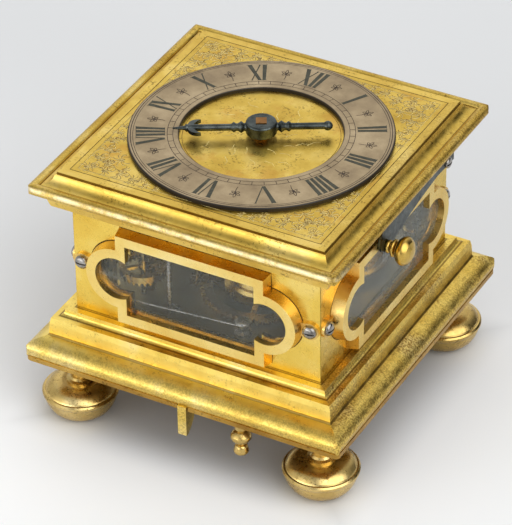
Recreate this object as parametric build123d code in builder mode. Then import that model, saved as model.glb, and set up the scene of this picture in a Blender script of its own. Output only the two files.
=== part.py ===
from build123d import *

import os
from math import acos, atan2, cos, degrees, hypot, radians, sin, sqrt

# Square horizontal striking table clock of gilt brass: a case with four glazed walls on a hinged
# base with bun feet, the bell in the base, and a going and a striking train between two plates.
# Millimetres, +Z up, origin on the table below the clock's centre. XII is at +Y, VI and the base
# catch at -Y, III and the latch knob at +X.

# Case, driving dimensions
base_width = 140.0            # across the nose of the base moulding
body_width = 108.3            # outside of the glazed walls
cornice_width = 134.4         # across the nose of the cornice
foot_height = 28.6            # table to the underside of the base plate
base_plate_thick = 2.5
moulding_height = 18.9        # base plate to the foot of the walls
body_height = 50.1            # height of the glazed walls
cornice_height = 15.2         # soffit to the dial
wall_thick = 2.0
moulding_wall = 3.0           # metal of the base moulding at its flank
flank_share = 0.552           # its flank, from the walls towards its nose
base_corner = 2.5             # worn corners of the base moulding, radius
cornice_corner = 4.0
cornice_nose = 2.2            # radius of the rounded nose
dial_plate_thick = 2.2
seam = 0.12                   # open line where two pieces of the case meet

# Windows
window_margin = 8.85          # wall above and below the opening
window_drop = 1.1             # centre of the window below the middle of the wall
window_side = 12.35           # wall beyond the lobe at each end
lobe_radius = 9.4
lobe_step = 4.2               # lobe's centre beyond the end of the straight opening
rail_width = 4.1              # face of the frame's rail
frame_depth = 5.2             # frame proud of the wall
frame_draft = 9.0             # slope of the frame's outer flank, degrees
glass_setback = 2.6           # frame's face to the glass
glass_thick = 1.6
glass_rebate = 1.3            # rebate all round for the glass
ear_inset = 4.15              # screw of each ear, in from the wall's end
ear_radius = 3.7
ear_thick = 1.2
window_screw_head = 2.9       # radius
window_screw_dome = 2.0
window_screw_shank = 1.1

# Feet, bell and what is under the clock
foot_gap = 1.1                # foot nuts to the inside of the base moulding
foot_radius = 15.4
foot_rim_height = 9.8
foot_stud = 2.0
foot_nut_radius = 3.9
foot_nut_thick = 2.6
bell_radius = 43.0
bell_height = 11.9            # crown to lip
bell_wall = 1.5
bell_seat = 2.0               # boss under the crown
bell_screw = 2.4
pull_x = 25.3
pull_inset = 4.2              # behind the nose of the base
pull_length = 14.8

# Base catch at the front
catch_x = 1.5
catch_width = 3.8
catch_drop = 11.3             # below the base plate
catch_travel = 1.7
catch_hold = 1.4              # of the hook under the plate

# Base hinge at the back
hinge_radius = 2.0
hinge_pin_radius = 0.9
hinge_length = 60.0
hinge_knuckles = 5

# Latch spring and knob on the III side
latch_spring_thick = 0.9
latch_gap = 0.25              # spring to the frame's face
latch_eye_radius = 6.0
latch_eye_drop = 6.65         # eye centre below the soffit
latch_knob_y = -11.2
latch_knob_drop = 10.45       # knob axis below the soffit
latch_knob_radius = 5.8
latch_screw_y = 41.6
latch_screw_drop = 3.45
latch_screw_hole = 1.4        # in the wall, wide enough for the post to rock
latch_pin_radius = 0.7
latch_pin_length = 10.6
latch_dip = 0.587             # lowest point of the spring, from the screw towards the knob

# Dial and hand
ring_margin = 1.95            # dial plate left round the chapter ring
ring_width = 20.1
ring_thick = 1.7
hand_angle = 209.0            # from +X, so just before eight
hand_reach = 34.4
tail_reach = 27.8
hand_rod = 1.35               # radius
crescent_half = 5.2           # half the width across the horns
hub_radius = 6.1
hub_thick = 4.8
hub_square = 4.2
hour_pipe_radius = 3.0

# Movement
plate_gap = 1.65              # plates to the walls
plate_thick = 2.0
movement_rise = 4.0           # lower plate above the foot of the walls
movement_drop = 3.1           # underside of the upper plate below the soffit
pillar_inset = 6.5            # in from the edge of the plates
pillar_radius = 3.4
pillar_shaft = 2.4
pillar_tenon = 1.6
arbor_radius = 1.1
pivot_radius = 0.8
running = 0.08                # radial clearance of what turns
wheel_thick = 1.5
great_wheel_thick = 2.0

# Tooth counts and modules
great_teeth = 60
great_module = 0.8
second_teeth = 56
second_module = 0.7
contrate_teeth = 27
contrate_module = 0.667
crown_teeth = 17
report_leaves = 12
hour_teeth = 48
hour_module = 0.7
strike_great_teeth = 56
pin_wheel_teeth = 48
hoop_wheel_teeth = 42
strike_module = 0.6
count_teeth = 42
pinion_leaves = 6

# Where the going train stands
report_angle = -61.6          # fusee arbor seen from the hand's centre
contrate_x = -31.0
contrate_y = -41.0
going_barrel_x = 30.0
going_barrel_y = 14.0
going_barrel_radius = 16.0
fusee_bottom_radius = 14.0
fusee_top_radius = 7.0
fusee_turns = 8
line_radius = 0.4             # gut line from the fusee to its barrel
crown_radius = 7.0
crown_height = 10.5           # crown arbor above the lower plate's underside
verge_way = 37.0              # from the contrate wheel's arbor to the verge
verge_gap = 2.05              # crown teeth to the verge's axis
pallet_reach = 2.2
pallet_angle = 50.0           # each side of the way to the crown wheel
balance_radius = 16.0

# Where the striking train stands
strike_barrel_x = -22.0
strike_barrel_y = 24.0
strike_barrel_radius = 17.0
pin_wheel_angle = 14.0        # seen from the strike barrel
hoop_wheel_angle = 17.2       # seen from the pin wheel
fly_angle = 13.2              # seen from the hoop wheel
count_angle = 146.0           # seen from the strike barrel
hammer_x = 4.0
hammer_y = 47.2
hammer_arm = 24.6
hammer_arm_angle = -47.0
lifting_x = -15.4
lifting_y = -47.9
fly_width = 13.0
fly_height = 18.0
detent_reach = 46.0           # of the spring wire that rests on the lifting piece

# Levels
base_plate_z = foot_height
moulding_z = base_plate_z + base_plate_thick
body_z = moulding_z + moulding_height
soffit_z = body_z + body_height
dial_z = soffit_z + cornice_height
wall_middle_z = body_z + body_height / 2
window_z = wall_middle_z - window_drop
upper_plate_z = soffit_z - movement_drop
lower_plate_z = body_z + movement_rise
train_z = lower_plate_z + plate_thick
motion_z = upper_plate_z + plate_thick

base_half = base_width / 2
body_half = body_width / 2
inner_half = body_half - wall_thick
cornice_half = cornice_width / 2
frame_face = body_half + frame_depth

window_half_height = body_height / 2 - window_margin
lobe_centre = body_half - window_side - lobe_radius
window_half_width = lobe_centre - lobe_step
ear_centre = body_half - ear_inset
flank = body_half + flank_share * (base_half - body_half)
hollow = flank - 0.6 - moulding_wall       # inside of the base moulding
foot_offset = hollow - foot_nut_radius - foot_gap
pull_y = pull_inset - base_half
ring_outer = body_half - ring_margin
ring_inner = ring_outer - ring_width
plate_half = inner_half - plate_gap
pillar_offset = plate_half - pillar_inset

os.makedirs("parts", exist_ok=True)


def save(name, builder):
    """Label a finished sub-part and write its STEP file."""
    builder.part.label = name
    export_step(builder.part, f"parts/{name}.step")


def side_plane(side, out, x=0.0, z=0.0):
    """Plane on a wall: side 0 front, 1 right, 2 back, 3 left, its normal pointing out."""
    turn = radians(90 * side)
    across = Vector(cos(turn), sin(turn), 0)
    normal = Vector(sin(turn), -cos(turn), 0)
    origin = normal * out + across * x + Vector(0, 0, z)
    return Plane(origin=origin, x_dir=across, z_dir=normal)


def profile_plane(x, y, turn=0.0):
    """Upright plane through a vertical axis, for turned profiles of (radius, height)."""
    return Plane(origin=(x, y, 0), x_dir=(cos(radians(turn)), sin(radians(turn)), 0),
                 z_dir=(sin(radians(turn)), -cos(radians(turn)), 0))


def upright_axis(x, y):
    return Axis((x, y, 0), (0, 0, 1))


def outline(points):
    """Closed outline in the current line; a pair of points is a curve through the first to the second."""
    start = points[0]
    last = start
    for item in points[1:]:
        if isinstance(item[0], tuple):
            middle, end = item
            control = tuple(2 * m - (a + b) / 2 for m, a, b in zip(middle, last, end))
            Bezier(last, control, end)
            last = end
        else:
            Line(last, item)
            last = item
    if last != start:
        Line(last, start)


def turned(x, y, points):
    """Solid of revolution about an upright axis from a closed outline of (radius, height)."""
    with BuildPart() as piece:
        with BuildSketch(profile_plane(x, y)):
            with BuildLine():
                outline(points)
            make_face()
        revolve(axis=upright_axis(x, y))
    return piece.part


def polar(radius, angle):
    return radius * cos(radians(angle)), radius * sin(radians(angle))


def meet(a, reach_a, b, reach_b):
    """Point at two given distances from two points, on the left of the way from a to b."""
    span = hypot(b[0] - a[0], b[1] - a[1])
    along = (reach_a ** 2 - reach_b ** 2 + span ** 2) / (2 * span)
    off = sqrt(reach_a ** 2 - along ** 2)
    ux = (b[0] - a[0]) / span
    uy = (b[1] - a[1]) / span
    return a[0] + ux * along + uy * off, a[1] + uy * along - ux * off


def bearing(a, b):
    """Direction from a to b in degrees."""
    return degrees(atan2(b[1] - a[1], b[0] - a[0]))


def mesh_distance(teeth, module, leaves=pinion_leaves):
    return module * (teeth + leaves) / 2


def wheel_rim(teeth, module, phase, root=1.15, tip=1.0, share=0.33):
    """Outline of a wheel with pointed teeth, one of them centred on the phase angle."""
    pitch_radius = module * teeth / 2
    step = 360 / teeth
    points = []
    for i in range(teeth):
        middle = phase + i * step
        points.append(polar(pitch_radius - root * module, middle - share * step))
        points.append(polar(pitch_radius + tip * module, middle))
        points.append(polar(pitch_radius - root * module, middle + share * step))
    return points


def pinion_rim(leaves, module, phase, root=1.3, tip=0.75, foot=0.16, head=0.1):
    """Outline of a pinion with straight leaves, one of them centred on the phase angle."""
    pitch_radius = module * leaves / 2
    step = 360 / leaves
    points = []
    for i in range(leaves):
        middle = phase + i * step
        points.append(polar(pitch_radius - root * module, middle - foot * step))
        points.append(polar(pitch_radius + tip * module, middle - head * step))
        points.append(polar(pitch_radius + tip * module, middle + head * step))
        points.append(polar(pitch_radius - root * module, middle + foot * step))
    return points


def level(z, at=(0, 0)):
    """Level plane at a height, centred on a place."""
    return Plane(origin=(at[0], at[1], z), x_dir=(1, 0, 0), z_dir=(0, 0, 1))


def toothed_wheel(centre, z, teeth, module, phase, bore, thick=wheel_thick, arms=4, rim=2.4, hub=4.0):
    """Wheel with crossings: a toothed rim, straight arms and a hub with a bore."""
    inside = module * teeth / 2 - 1.15 * module - rim
    with BuildPart() as wheel:
        with BuildSketch(level(z, centre)):
            Polygon(*wheel_rim(teeth, module, phase), align=None)
            if inside > hub + 2:
                Circle(inside, mode=Mode.SUBTRACT)
                with PolarLocations(inside / 2 + 0.4, arms, start_angle=phase):
                    Rectangle(inside + 0.8, 2.2)
                Circle(hub)
            Circle(bore, mode=Mode.SUBTRACT)
        extrude(amount=thick)
    return wheel.part


def pinion(centre, z, height, leaves, module, phase):
    """Leaves of a pinion, a prism round its arbor."""
    with BuildPart() as piece:
        with BuildSketch(level(z, centre)):
            Polygon(*pinion_rim(leaves, module, phase), align=None)
        extrude(amount=height)
    return piece.part


def arbor(centre, low, high, radius=arbor_radius, pivot=pivot_radius, low_end=None, high_end=None):
    """Upright steel arbor with a shoulder at each plate and a pivot through it."""
    low_end = lower_plate_z if low_end is None else low_end
    high_end = motion_z if high_end is None else high_end
    points = [(0, low_end), (pivot, low_end), (pivot, low), (radius, low),
              (radius, high), (pivot, high), (pivot, high_end), (0, high_end)]
    return turned(centre[0], centre[1], points)


# Shapes that several pieces share

def window_shape(grow=0.0):
    """Window opening with a lobe at each end, grown all round; drawn in the current sketch."""
    Rectangle(2 * (window_half_width + grow), 2 * (window_half_height + grow))
    with Locations((lobe_centre, 0), (-lobe_centre, 0)):
        Circle(lobe_radius + grow)


def square_ring(points, half, corner):
    """Mitred moulding of a square: an outline of (out, height) carried round, its corners worn round."""
    with BuildPart() as ring:
        with BuildLine() as path:
            Polyline((0, -half, 0), (half, -half, 0), (half, half, 0), (-half, half, 0),
                     (-half, -half, 0), (0, -half, 0))
        with BuildSketch(Plane(origin=(0, 0, 0), x_dir=(0, -1, 0), z_dir=(-1, 0, 0))):
            with BuildLine():
                outline(points)
            make_face()
        sweep(path=path.wires()[0], transition=Transition.RIGHT)
        with BuildSketch():
            RectangleRounded(2 * half, 2 * half, corner)
        extrude(amount=body_height, mode=Mode.INTERSECT)
    return ring.part


# Base plate with its feet, bell and hinge

catch_slot_half = catch_width / 2 + 0.5
plate_edge = base_half - 0.4
catch_front = base_half + 0.2
catch_edge = catch_front - 6.0            # front edge of the plate inside the notch
catch_bar_thick = 2.8
catch_slot_end = catch_front - 1.2        # front end of the slot in the moulding
hinge_y = base_half + 0.5
hinge_z = moulding_z
hinge_recess = hinge_y - hinge_radius - 0.3
knuckle = hinge_length / hinge_knuckles
foot_places = [(foot_offset * sx, foot_offset * sy) for sx in (-1, 1) for sy in (-1, 1)]

with BuildPart() as bottom_plate:
    with BuildSketch(level(base_plate_z)):
        RectangleRounded(2 * plate_edge, 2 * plate_edge, 2.0)
        with Locations((catch_x, -plate_edge)):
            Rectangle(2 * catch_slot_half, 2 * (plate_edge - catch_edge), mode=Mode.SUBTRACT)
        with Locations((0, plate_edge)):
            Rectangle(hinge_length + 1, 2 * (plate_edge - hinge_recess), mode=Mode.SUBTRACT)
        with Locations(*foot_places):
            Circle(foot_stud, mode=Mode.SUBTRACT)
        Circle(bell_screw, mode=Mode.SUBTRACT)
        with Locations((pull_x, pull_y)):
            Circle(1.3, mode=Mode.SUBTRACT)
    extrude(amount=base_plate_thick)
    chamfer(bottom_plate.faces().sort_by(Axis.Z)[0].outer_wire().edges().filter_by(GeomType.LINE)
            .filter_by(lambda e: e.length > 20), length=0.5)
save("bottom_plate", bottom_plate)

rim = foot_rim_height
neck_z = rim + 5.6
foot_profile = [
    (0, 0), (6.6, 0),
    ((11.9, 2.2), (foot_radius - 0.6, rim - 1.5)),
    (foot_radius, rim - 0.5), (foot_radius, rim + 0.4), (foot_radius - 0.6, rim + 1.0),
    (foot_radius - 1.2, rim + 1.1), (foot_radius - 1.5, rim + 1.7),
    ((11.2, rim + 4.0), (7.4, rim + 4.9)),
    (5.5, rim + 4.8), (5.5, neck_z), (4.4, neck_z + 0.6), (3.7, neck_z + 1.4), (3.7, foot_height - 6.4),
    (4.7, foot_height - 5.4), (4.0, foot_height - 4.2), (4.0, foot_height - 3.4),
    (5.2, foot_height - 2.2), (4.4, foot_height - 1.0), (4.4, foot_height),
    (foot_stud, foot_height), (foot_stud, moulding_z + foot_nut_thick + 0.8),
    (0, moulding_z + foot_nut_thick + 0.8),
]
with BuildPart() as feet:
    for x, y in foot_places:
        add(turned(x, y, foot_profile))
save("feet", feet)

with BuildPart() as foot_nuts:
    with BuildSketch(level(moulding_z)):
        with Locations(*foot_places):
            RegularPolygon(foot_nut_radius, 6)
            Circle(foot_stud, mode=Mode.SUBTRACT)
    extrude(amount=foot_nut_thick)
save("foot_nuts", foot_nuts)

crown_z = moulding_z + bell_seat
lip_z = crown_z + bell_height
bell_flare = bell_radius + 1.2
with BuildPart() as bell:
    with BuildSketch(profile_plane(0, 0)):
        with BuildLine():
            outline([
                (bell_screw, crown_z), (9, crown_z),
                ((28, crown_z + 2.1), (bell_radius - 3, crown_z + 6.0)),
                ((bell_radius - 0.8, crown_z + 8.6), (bell_flare, lip_z)),
                (bell_flare - bell_wall, lip_z),
                ((bell_radius - 2.6, crown_z + 9.4), (bell_radius - 4.6, crown_z + 7.0)),
                ((28, crown_z + 2.9), (9, crown_z + bell_wall)), (bell_screw, crown_z + bell_wall),
            ])
        make_face()
    revolve(axis=Axis.Z)
save("bell", bell)

seat_z = crown_z + bell_wall
with BuildPart() as bell_stud:
    add(turned(0, 0, [
        (0, base_plate_z), (bell_screw, base_plate_z), (bell_screw, moulding_z), (6, moulding_z),
        (5.2, crown_z), (bell_screw, crown_z), (bell_screw, seat_z + 3.4), (0, seat_z + 4.2),
    ]))
save("bell_stud", bell_stud)

with BuildPart() as bell_nut:
    with BuildSketch(level(seat_z)):
        RegularPolygon(4.6, 6)
        Circle(bell_screw, mode=Mode.SUBTRACT)
    extrude(amount=2.4)
save("bell_nut", bell_nut)

pull_end = base_plate_z - pull_length
with BuildPart() as pull_knob:
    add(turned(pull_x, pull_y, [
        (0, pull_end), ((2.6, pull_end + 0.7), (2.9, pull_end + 2.6)),
        ((2.4, pull_end + 4.2), (1.7, pull_end + 4.7)), (2.0, pull_end + 5.4),
        ((4.2, pull_end + 8.4), (2.6, pull_end + 11.2)),
        (1.9, pull_end + 11.6), (2.6, pull_end + 12.6), (2.6, base_plate_z),
        (1.3, base_plate_z), (1.3, moulding_z), (0, moulding_z),
    ]))
save("pull_knob", pull_knob)


def hinge_leaf(first, low, high):
    """Knuckles of one half of the hinge, every second one from the first, on their leaf."""
    with BuildPart() as leaf:
        for i in range(first, hinge_knuckles, 2):
            middle = -hinge_length / 2 + (i + 0.5) * knuckle
            with BuildSketch(Plane.YZ.offset(middle - knuckle / 2 + seam)):
                with Locations((hinge_y, hinge_z)):
                    Circle(hinge_radius)
                with Locations(((hinge_y + hinge_recess) / 2, (low + high) / 2)):
                    Rectangle(hinge_y - hinge_recess, high - low)
                with Locations((hinge_y, hinge_z)):
                    Circle(hinge_pin_radius + (running if first else 0), mode=Mode.SUBTRACT)
            extrude(amount=knuckle - 2 * seam)
    return leaf


save("hinge_lower_leaf", hinge_leaf(0, hinge_z - 2.0, hinge_z - 0.1))
save("hinge_upper_leaf", hinge_leaf(1, hinge_z + 0.1, hinge_z + 2.0))

with BuildPart() as hinge_pin:
    with BuildSketch(Plane.YZ.offset(-hinge_length / 2)):
        with Locations((hinge_y, hinge_z)):
            Circle(hinge_pin_radius)
    extrude(amount=hinge_length)
save("hinge_pin", hinge_pin)


# Case: base moulding, four walls and cornice

nose = base_half
top = moulding_height
with BuildPart() as base_moulding:
    with Locations((0, 0, moulding_z)):
        add(square_ring([
            (nose - 0.7, 0), (nose, 2.8), ((nose - 1.9, 6.0), (flank, 8.0)),
            (flank - 0.4, 8.5), (flank - 0.6, 13.4), (flank - 1.1, top - 3.0),
            ((flank - 4.0, top - 2.6), (flank - 5.1, top - 1.4)), (flank - 5.3, top),
            (inner_half, top), (inner_half, top - 3.5), (hollow, top - 6.5), (hollow, 0),
        ], base_half, base_corner))
    with BuildSketch(level(moulding_z)):
        with Locations((catch_x, -(catch_slot_end + inner_half) / 2)):
            Rectangle(catch_width + 0.4, catch_slot_end - inner_half)
    extrude(amount=catch_bar_thick + 0.3, mode=Mode.SUBTRACT)
    with BuildSketch(level(moulding_z)):
        with Locations((0, base_half)):
            Rectangle(hinge_length + 1, 2 * (base_half - hinge_recess))
    extrude(amount=2.5, mode=Mode.SUBTRACT)
save("base_moulding", base_moulding)

latch_pin_z = upper_plate_z + plate_thick / 2
side_names = ("front", "right", "back", "left")
for side, name in enumerate(side_names):
    with BuildPart() as wall:
        with BuildSketch(side_plane(side, inner_half, z=body_z)):
            with Locations((0, body_height / 2)):
                Rectangle(2 * body_half - 2 * seam, body_height)
        extrude(amount=wall_thick)
        with BuildSketch(side_plane(side, inner_half, z=window_z)):
            window_shape(0.5)
        extrude(amount=wall_thick, mode=Mode.SUBTRACT)
        with BuildSketch(side_plane(side, inner_half, z=window_z)):
            with Locations((ear_centre, 0), (-ear_centre, 0)):
                Circle(window_screw_shank)
        extrude(amount=wall_thick, mode=Mode.SUBTRACT)
        if side == 1:
            with BuildSketch(side_plane(side, inner_half, x=latch_knob_y, z=latch_pin_z)):
                Circle(latch_pin_radius + 0.6)
            extrude(amount=wall_thick, mode=Mode.SUBTRACT)
            with BuildSketch(side_plane(side, inner_half, x=latch_screw_y,
                                        z=soffit_z - latch_screw_drop)):
                Circle(latch_screw_hole)
            extrude(amount=wall_thick, mode=Mode.SUBTRACT)
        for end in (-1, 1):
            corner = side_plane(side, body_half, x=end * (body_half - seam))
            mitre = Plane(origin=corner.origin, x_dir=(0, 0, 1),
                          z_dir=(corner.x_dir * end - corner.z_dir).normalized())
            split(bisect_by=mitre, keep=Keep.BOTTOM)
    save(f"case_wall_{name}", wall)

band_edge = body_half + 3.7                # edge of the flat band round the dial
nose = cornice_half - cornice_nose         # centre of the rounded nose
nose_z = cornice_height - 6.0
slant = cornice_nose * 0.707
with BuildPart() as cornice:
    with Locations((0, 0, soffit_z)):
        add(square_ring([
            (inner_half, 0), (body_half + 6.0, 0), (body_half + 6.8, 2.7),
            ((body_half + 8.2, 5.6), (nose, nose_z - cornice_nose)),
            ((nose + slant, nose_z - slant), (cornice_half, nose_z)),
            ((nose + slant, nose_z + slant), (nose, nose_z + cornice_nose)),
            ((nose - 1.3, nose_z + 1.9), (nose - 2.1, nose_z + 1.1)),
            ((nose - 5.1, nose_z + 2.3), (band_edge + 0.6, cornice_height - 1.0)),
            (band_edge, cornice_height - 1.0), (band_edge, cornice_height - 0.2),
            (band_edge - 0.2, cornice_height),
            (body_half + seam, cornice_height),
            (body_half + seam, cornice_height - dial_plate_thick),
            (inner_half - 1.5, cornice_height - dial_plate_thick),
            (inner_half - 1.5, cornice_height - dial_plate_thick - 2), (inner_half, 8),
        ], cornice_half, cornice_corner))
save("cornice", cornice)


# Window frames, glasses and their screws

for side, name in enumerate(side_names):
    with BuildPart() as frame:
        with BuildSketch(side_plane(side, body_half, z=window_z)):
            window_shape(rail_width + frame_depth * 0.158)
        extrude(amount=frame_depth, taper=frame_draft)
        with BuildSketch(side_plane(side, body_half, z=window_z)):
            with Locations((ear_centre, 0), (-ear_centre, 0)):
                Circle(ear_radius)
            with Locations((ear_centre - 3, 0), (3 - ear_centre, 0)):
                Rectangle(6, 2 * ear_radius * 0.86)
        extrude(amount=ear_thick)
        with BuildSketch(side_plane(side, body_half, z=window_z)):
            window_shape()
        extrude(amount=frame_depth, mode=Mode.SUBTRACT)
        with BuildSketch(side_plane(side, body_half, z=window_z)):
            window_shape(glass_rebate)
        extrude(amount=frame_depth - glass_setback, mode=Mode.SUBTRACT)
        with BuildSketch(side_plane(side, body_half, z=window_z)):
            with Locations((ear_centre, 0), (-ear_centre, 0)):
                Circle(window_screw_shank)
        extrude(amount=ear_thick, mode=Mode.SUBTRACT)
    save(f"window_frame_{name}", frame)

with BuildPart() as window_glasses:
    for side in range(4):
        with BuildSketch(side_plane(side, frame_face - glass_setback - glass_thick, z=window_z)):
            window_shape(glass_rebate - 0.1)
        extrude(amount=glass_thick)
save("window_glasses", window_glasses)


def dome_screw(plane, head, crown, shank, length, slot=0.7):
    """Round-headed slotted screw: its head stands out of the plane, its shank goes in."""
    with BuildPart() as screw:
        with BuildSketch(plane):
            Circle(shank)
        extrude(amount=-length)
        profile = Plane(origin=plane.origin, x_dir=plane.x_dir, z_dir=-plane.y_dir)
        with BuildSketch(profile):
            with BuildLine():
                outline([(0, 0), (head, 0), (head, 0.5), ((0.7 * head, 0.8 * crown), (0, crown))])
            make_face()
        revolve(axis=Axis(plane.origin, plane.z_dir))
        with BuildSketch(plane.offset(crown)):
            Rectangle(3 * head, slot)
        extrude(amount=-crown * 0.45, mode=Mode.SUBTRACT)
    return screw.part


with BuildPart() as window_screws:
    for side in range(4):
        for end in (-1, 1):
            seat = side_plane(side, body_half + ear_thick, x=end * ear_centre, z=window_z)
            add(dome_screw(seat, window_screw_head, window_screw_dome, window_screw_shank,
                           ear_thick + wall_thick))
save("window_screws", window_screws)


# Latch spring on the right wall, its screw, post and knob

spring_in = frame_face + latch_gap
spring_out = spring_in + latch_spring_thick
eye_z = soffit_z - latch_eye_drop
knob_z = soffit_z - latch_knob_drop
screw_z = soffit_z - latch_screw_drop
latch_span = latch_screw_y - latch_knob_y

with BuildPart() as latch_spring:
    with BuildSketch(Plane.YZ.offset(spring_in)):
        with BuildLine():
            outline([
                (latch_screw_y + 5.6, screw_z - 1.6), (latch_screw_y - 9, screw_z - 1.0),
                ((latch_screw_y - latch_dip * latch_span, screw_z - 4.0),
                 (latch_knob_y + latch_eye_radius / 2, eye_z - 0.867 * latch_eye_radius)),
                (latch_knob_y, eye_z + latch_eye_radius - 0.3),
                (latch_screw_y + 5.6, screw_z + 2.3),
            ])
        make_face()
        with Locations((latch_knob_y, eye_z)):
            Circle(latch_eye_radius)
        with Locations((latch_screw_y, screw_z)):
            Circle(1.0, mode=Mode.SUBTRACT)
        with Locations((latch_knob_y, knob_z)):
            Circle(1.2, mode=Mode.SUBTRACT)
    extrude(amount=latch_spring_thick)

with BuildPart() as latch_post:
    with BuildSketch(Plane.YZ.offset(body_half)):
        with Locations((latch_screw_y, screw_z)):
            Circle(2.4)
            Circle(1.0, mode=Mode.SUBTRACT)
    extrude(amount=spring_in - body_half)
save("latch_post", latch_post)

with BuildPart() as latch_screw:
    seat = Plane(origin=(spring_out, latch_screw_y, screw_z), x_dir=(0, 1, 0), z_dir=(1, 0, 0))
    add(dome_screw(seat, 2.3, 1.5, 1.0, spring_out - inner_half))
save("latch_screw", latch_screw)


def turned_across(origin, direction, points):
    """Solid of revolution about a level axis from a closed outline of (along, radius)."""
    side = Vector(0, 0, 1)
    normal = Vector(*direction).cross(side)
    with BuildPart() as piece:
        with BuildSketch(Plane(origin=origin, x_dir=direction, z_dir=normal)):
            with BuildLine():
                outline(points)
            make_face()
        revolve(axis=Axis(origin, direction))
    return piece.part


neck = spring_out - spring_in
with BuildPart() as latch_knob:
    add(turned_across((spring_in, latch_knob_y, knob_z), (1, 0, 0), [
        (0, 0), (0, 1.2), (neck, 1.2), (neck, 2.3), ((neck + 0.8, 2.7), (neck + 1.6, 2.3)),
        (neck + 1.9, 1.8), (neck + 2.3, 2.9), ((neck + 3.2, 3.6), (neck + 4.1, 2.9)),
        (neck + 4.3, 2.3), (neck + 5.0, 4.2),
        ((neck + 7.4, latch_knob_radius), (neck + 10.0, 4.3)), (neck + 11.0, 2.2), (neck + 11.2, 0),
    ]))
save("latch_knob", latch_knob)

with latch_spring:
    add(turned_across((spring_in, latch_knob_y, latch_pin_z), (-1, 0, 0), [
        (0, 0), (0, latch_pin_radius), (latch_pin_length - 0.6, latch_pin_radius),
        (latch_pin_length, 0.3), (latch_pin_length, 0),
    ]))
save("latch_spring", latch_spring)


# Base catch at the front: a hooked lug on a bar that slides in the moulding, with a spring tail

hook_z = base_plate_z - 0.15
lug_low = base_plate_z - catch_drop
bar_low = moulding_z + 0.15
bar_high = bar_low + catch_bar_thick
bar_front = catch_slot_end - catch_travel - 0.2
tail_y = inner_half + 4.6
with BuildPart() as catch_lug:
    with BuildSketch(Plane.YZ.offset(catch_x - catch_width / 2)):
        with BuildLine():
            outline([
                (-catch_front, lug_low), (-catch_front, bar_low - 0.25), (-bar_front, bar_low - 0.25),
                (-bar_front, bar_high), (-tail_y - 0.6, bar_high), (-tail_y - 0.6, bar_high + 8),
                (-tail_y, bar_high + 8), (-tail_y, bar_low), (-catch_edge - 0.3, bar_low),
                (-catch_edge - 0.3, hook_z), (catch_hold - catch_edge, hook_z),
                ((catch_hold - catch_edge - 1.6, lug_low + 4.7), (1.5 - catch_front, lug_low)),
            ])
        make_face()
    extrude(amount=catch_width)
save("catch_lug", catch_lug)


# Dial plate, chapter ring, hour arbor and hand

with BuildPart() as dial_plate:
    with BuildSketch(level(dial_z - dial_plate_thick)):
        Rectangle(body_width, body_width)
        Circle(hour_pipe_radius + 0.3, mode=Mode.SUBTRACT)
    extrude(amount=dial_plate_thick)
save("dial_plate", dial_plate)

with BuildPart() as chapter_ring:
    with BuildSketch(level(dial_z)):
        Circle(ring_outer)
        Circle(ring_inner, mode=Mode.SUBTRACT)
    extrude(amount=ring_thick)
    chamfer(chapter_ring.faces().sort_by(Axis.Z)[-1].edges(), length=0.35)
save("chapter_ring", chapter_ring)

ring_top = dial_z + ring_thick
hub_z = ring_top + 0.4
hand_z = hub_z + 2.1
square_z = hub_z + hub_thick + 0.3
hour_wheel_z = motion_z + 2.2
with BuildPart() as hour_arbor:
    add(turned(0, 0, [
        (0, upper_plate_z), (pivot_radius, upper_plate_z), (pivot_radius, motion_z + 0.1),
        (2.4, motion_z + 0.1), (2.4, hour_wheel_z + 5), (hour_pipe_radius, hour_wheel_z + 5),
        (hour_pipe_radius, hub_z), (0, hub_z),
    ]))
    with BuildSketch(level(hub_z)):
        Rectangle(hub_square, hub_square, rotation=hand_angle)
    extrude(amount=square_z - hub_z)
save("hour_arbor", hour_arbor)

pointing = (cos(radians(hand_angle)), sin(radians(hand_angle)), 0)
tailing = (-pointing[0], -pointing[1], 0)
hand_plane = Plane(origin=(0, 0, hand_z - 0.8), x_dir=pointing, z_dir=(0, 0, 1))
crescent = hand_reach - 8.2                # middle of the crescent, out from the hub
collar = [
    (0, 0), (0, 2.0), (hub_radius - 0.4, 2.0), (hub_radius + 0.5, 1.5),
    (hub_radius + 1.7, 2.4), (hub_radius + 3.0, 1.5), (hub_radius + 3.6, 1.5),
    (hub_radius + 4.6, 2.1), (hub_radius + 5.6, hand_rod),
]
with BuildPart() as hour_hand:
    add(turned_across((0, 0, hand_z), pointing, collar + [
        (crescent + 2.2, hand_rod), (crescent + 2.8, 1.6), (crescent + 3.6, 0.9),
        (hand_reach, 0.3), (hand_reach, 0),
    ]))
    add(turned_across((0, 0, hand_z), tailing, collar + [
        (tail_reach - 3.4, hand_rod), ((tail_reach - 1.7, 1.9), (tail_reach - 0.2, 0.8)),
        (tail_reach, 0),
    ]))
    with BuildSketch(hand_plane):
        with BuildLine():
            outline([
                (crescent - 2.8, crescent_half - 0.6),
                ((crescent + 0.9, crescent_half - 1.3), (crescent + 2.7, 0)),
                ((crescent + 0.9, 1.3 - crescent_half), (crescent - 2.8, 0.6 - crescent_half)),
                ((crescent - 0.8, 2.3 - crescent_half), (crescent + 0.3, 0)),
                ((crescent - 0.8, crescent_half - 2.3), (crescent - 2.8, crescent_half - 0.6)),
            ])
        make_face()
    extrude(amount=1.6)
    with BuildSketch(level(hub_z)):
        Circle(hub_radius)
    extrude(amount=hub_thick)
    fillet(hour_hand.edges().filter_by(GeomType.CIRCLE).filter_by(
        lambda e: abs(e.radius - hub_radius) < 0.01 and e.center().Z > hub_z + hub_thick - 0.1), radius=0.9)
    with BuildSketch(level(hub_z)):
        Rectangle(hub_square, hub_square, rotation=hand_angle)
    extrude(amount=hub_thick, mode=Mode.SUBTRACT)
save("hour_hand", hour_hand)


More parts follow.
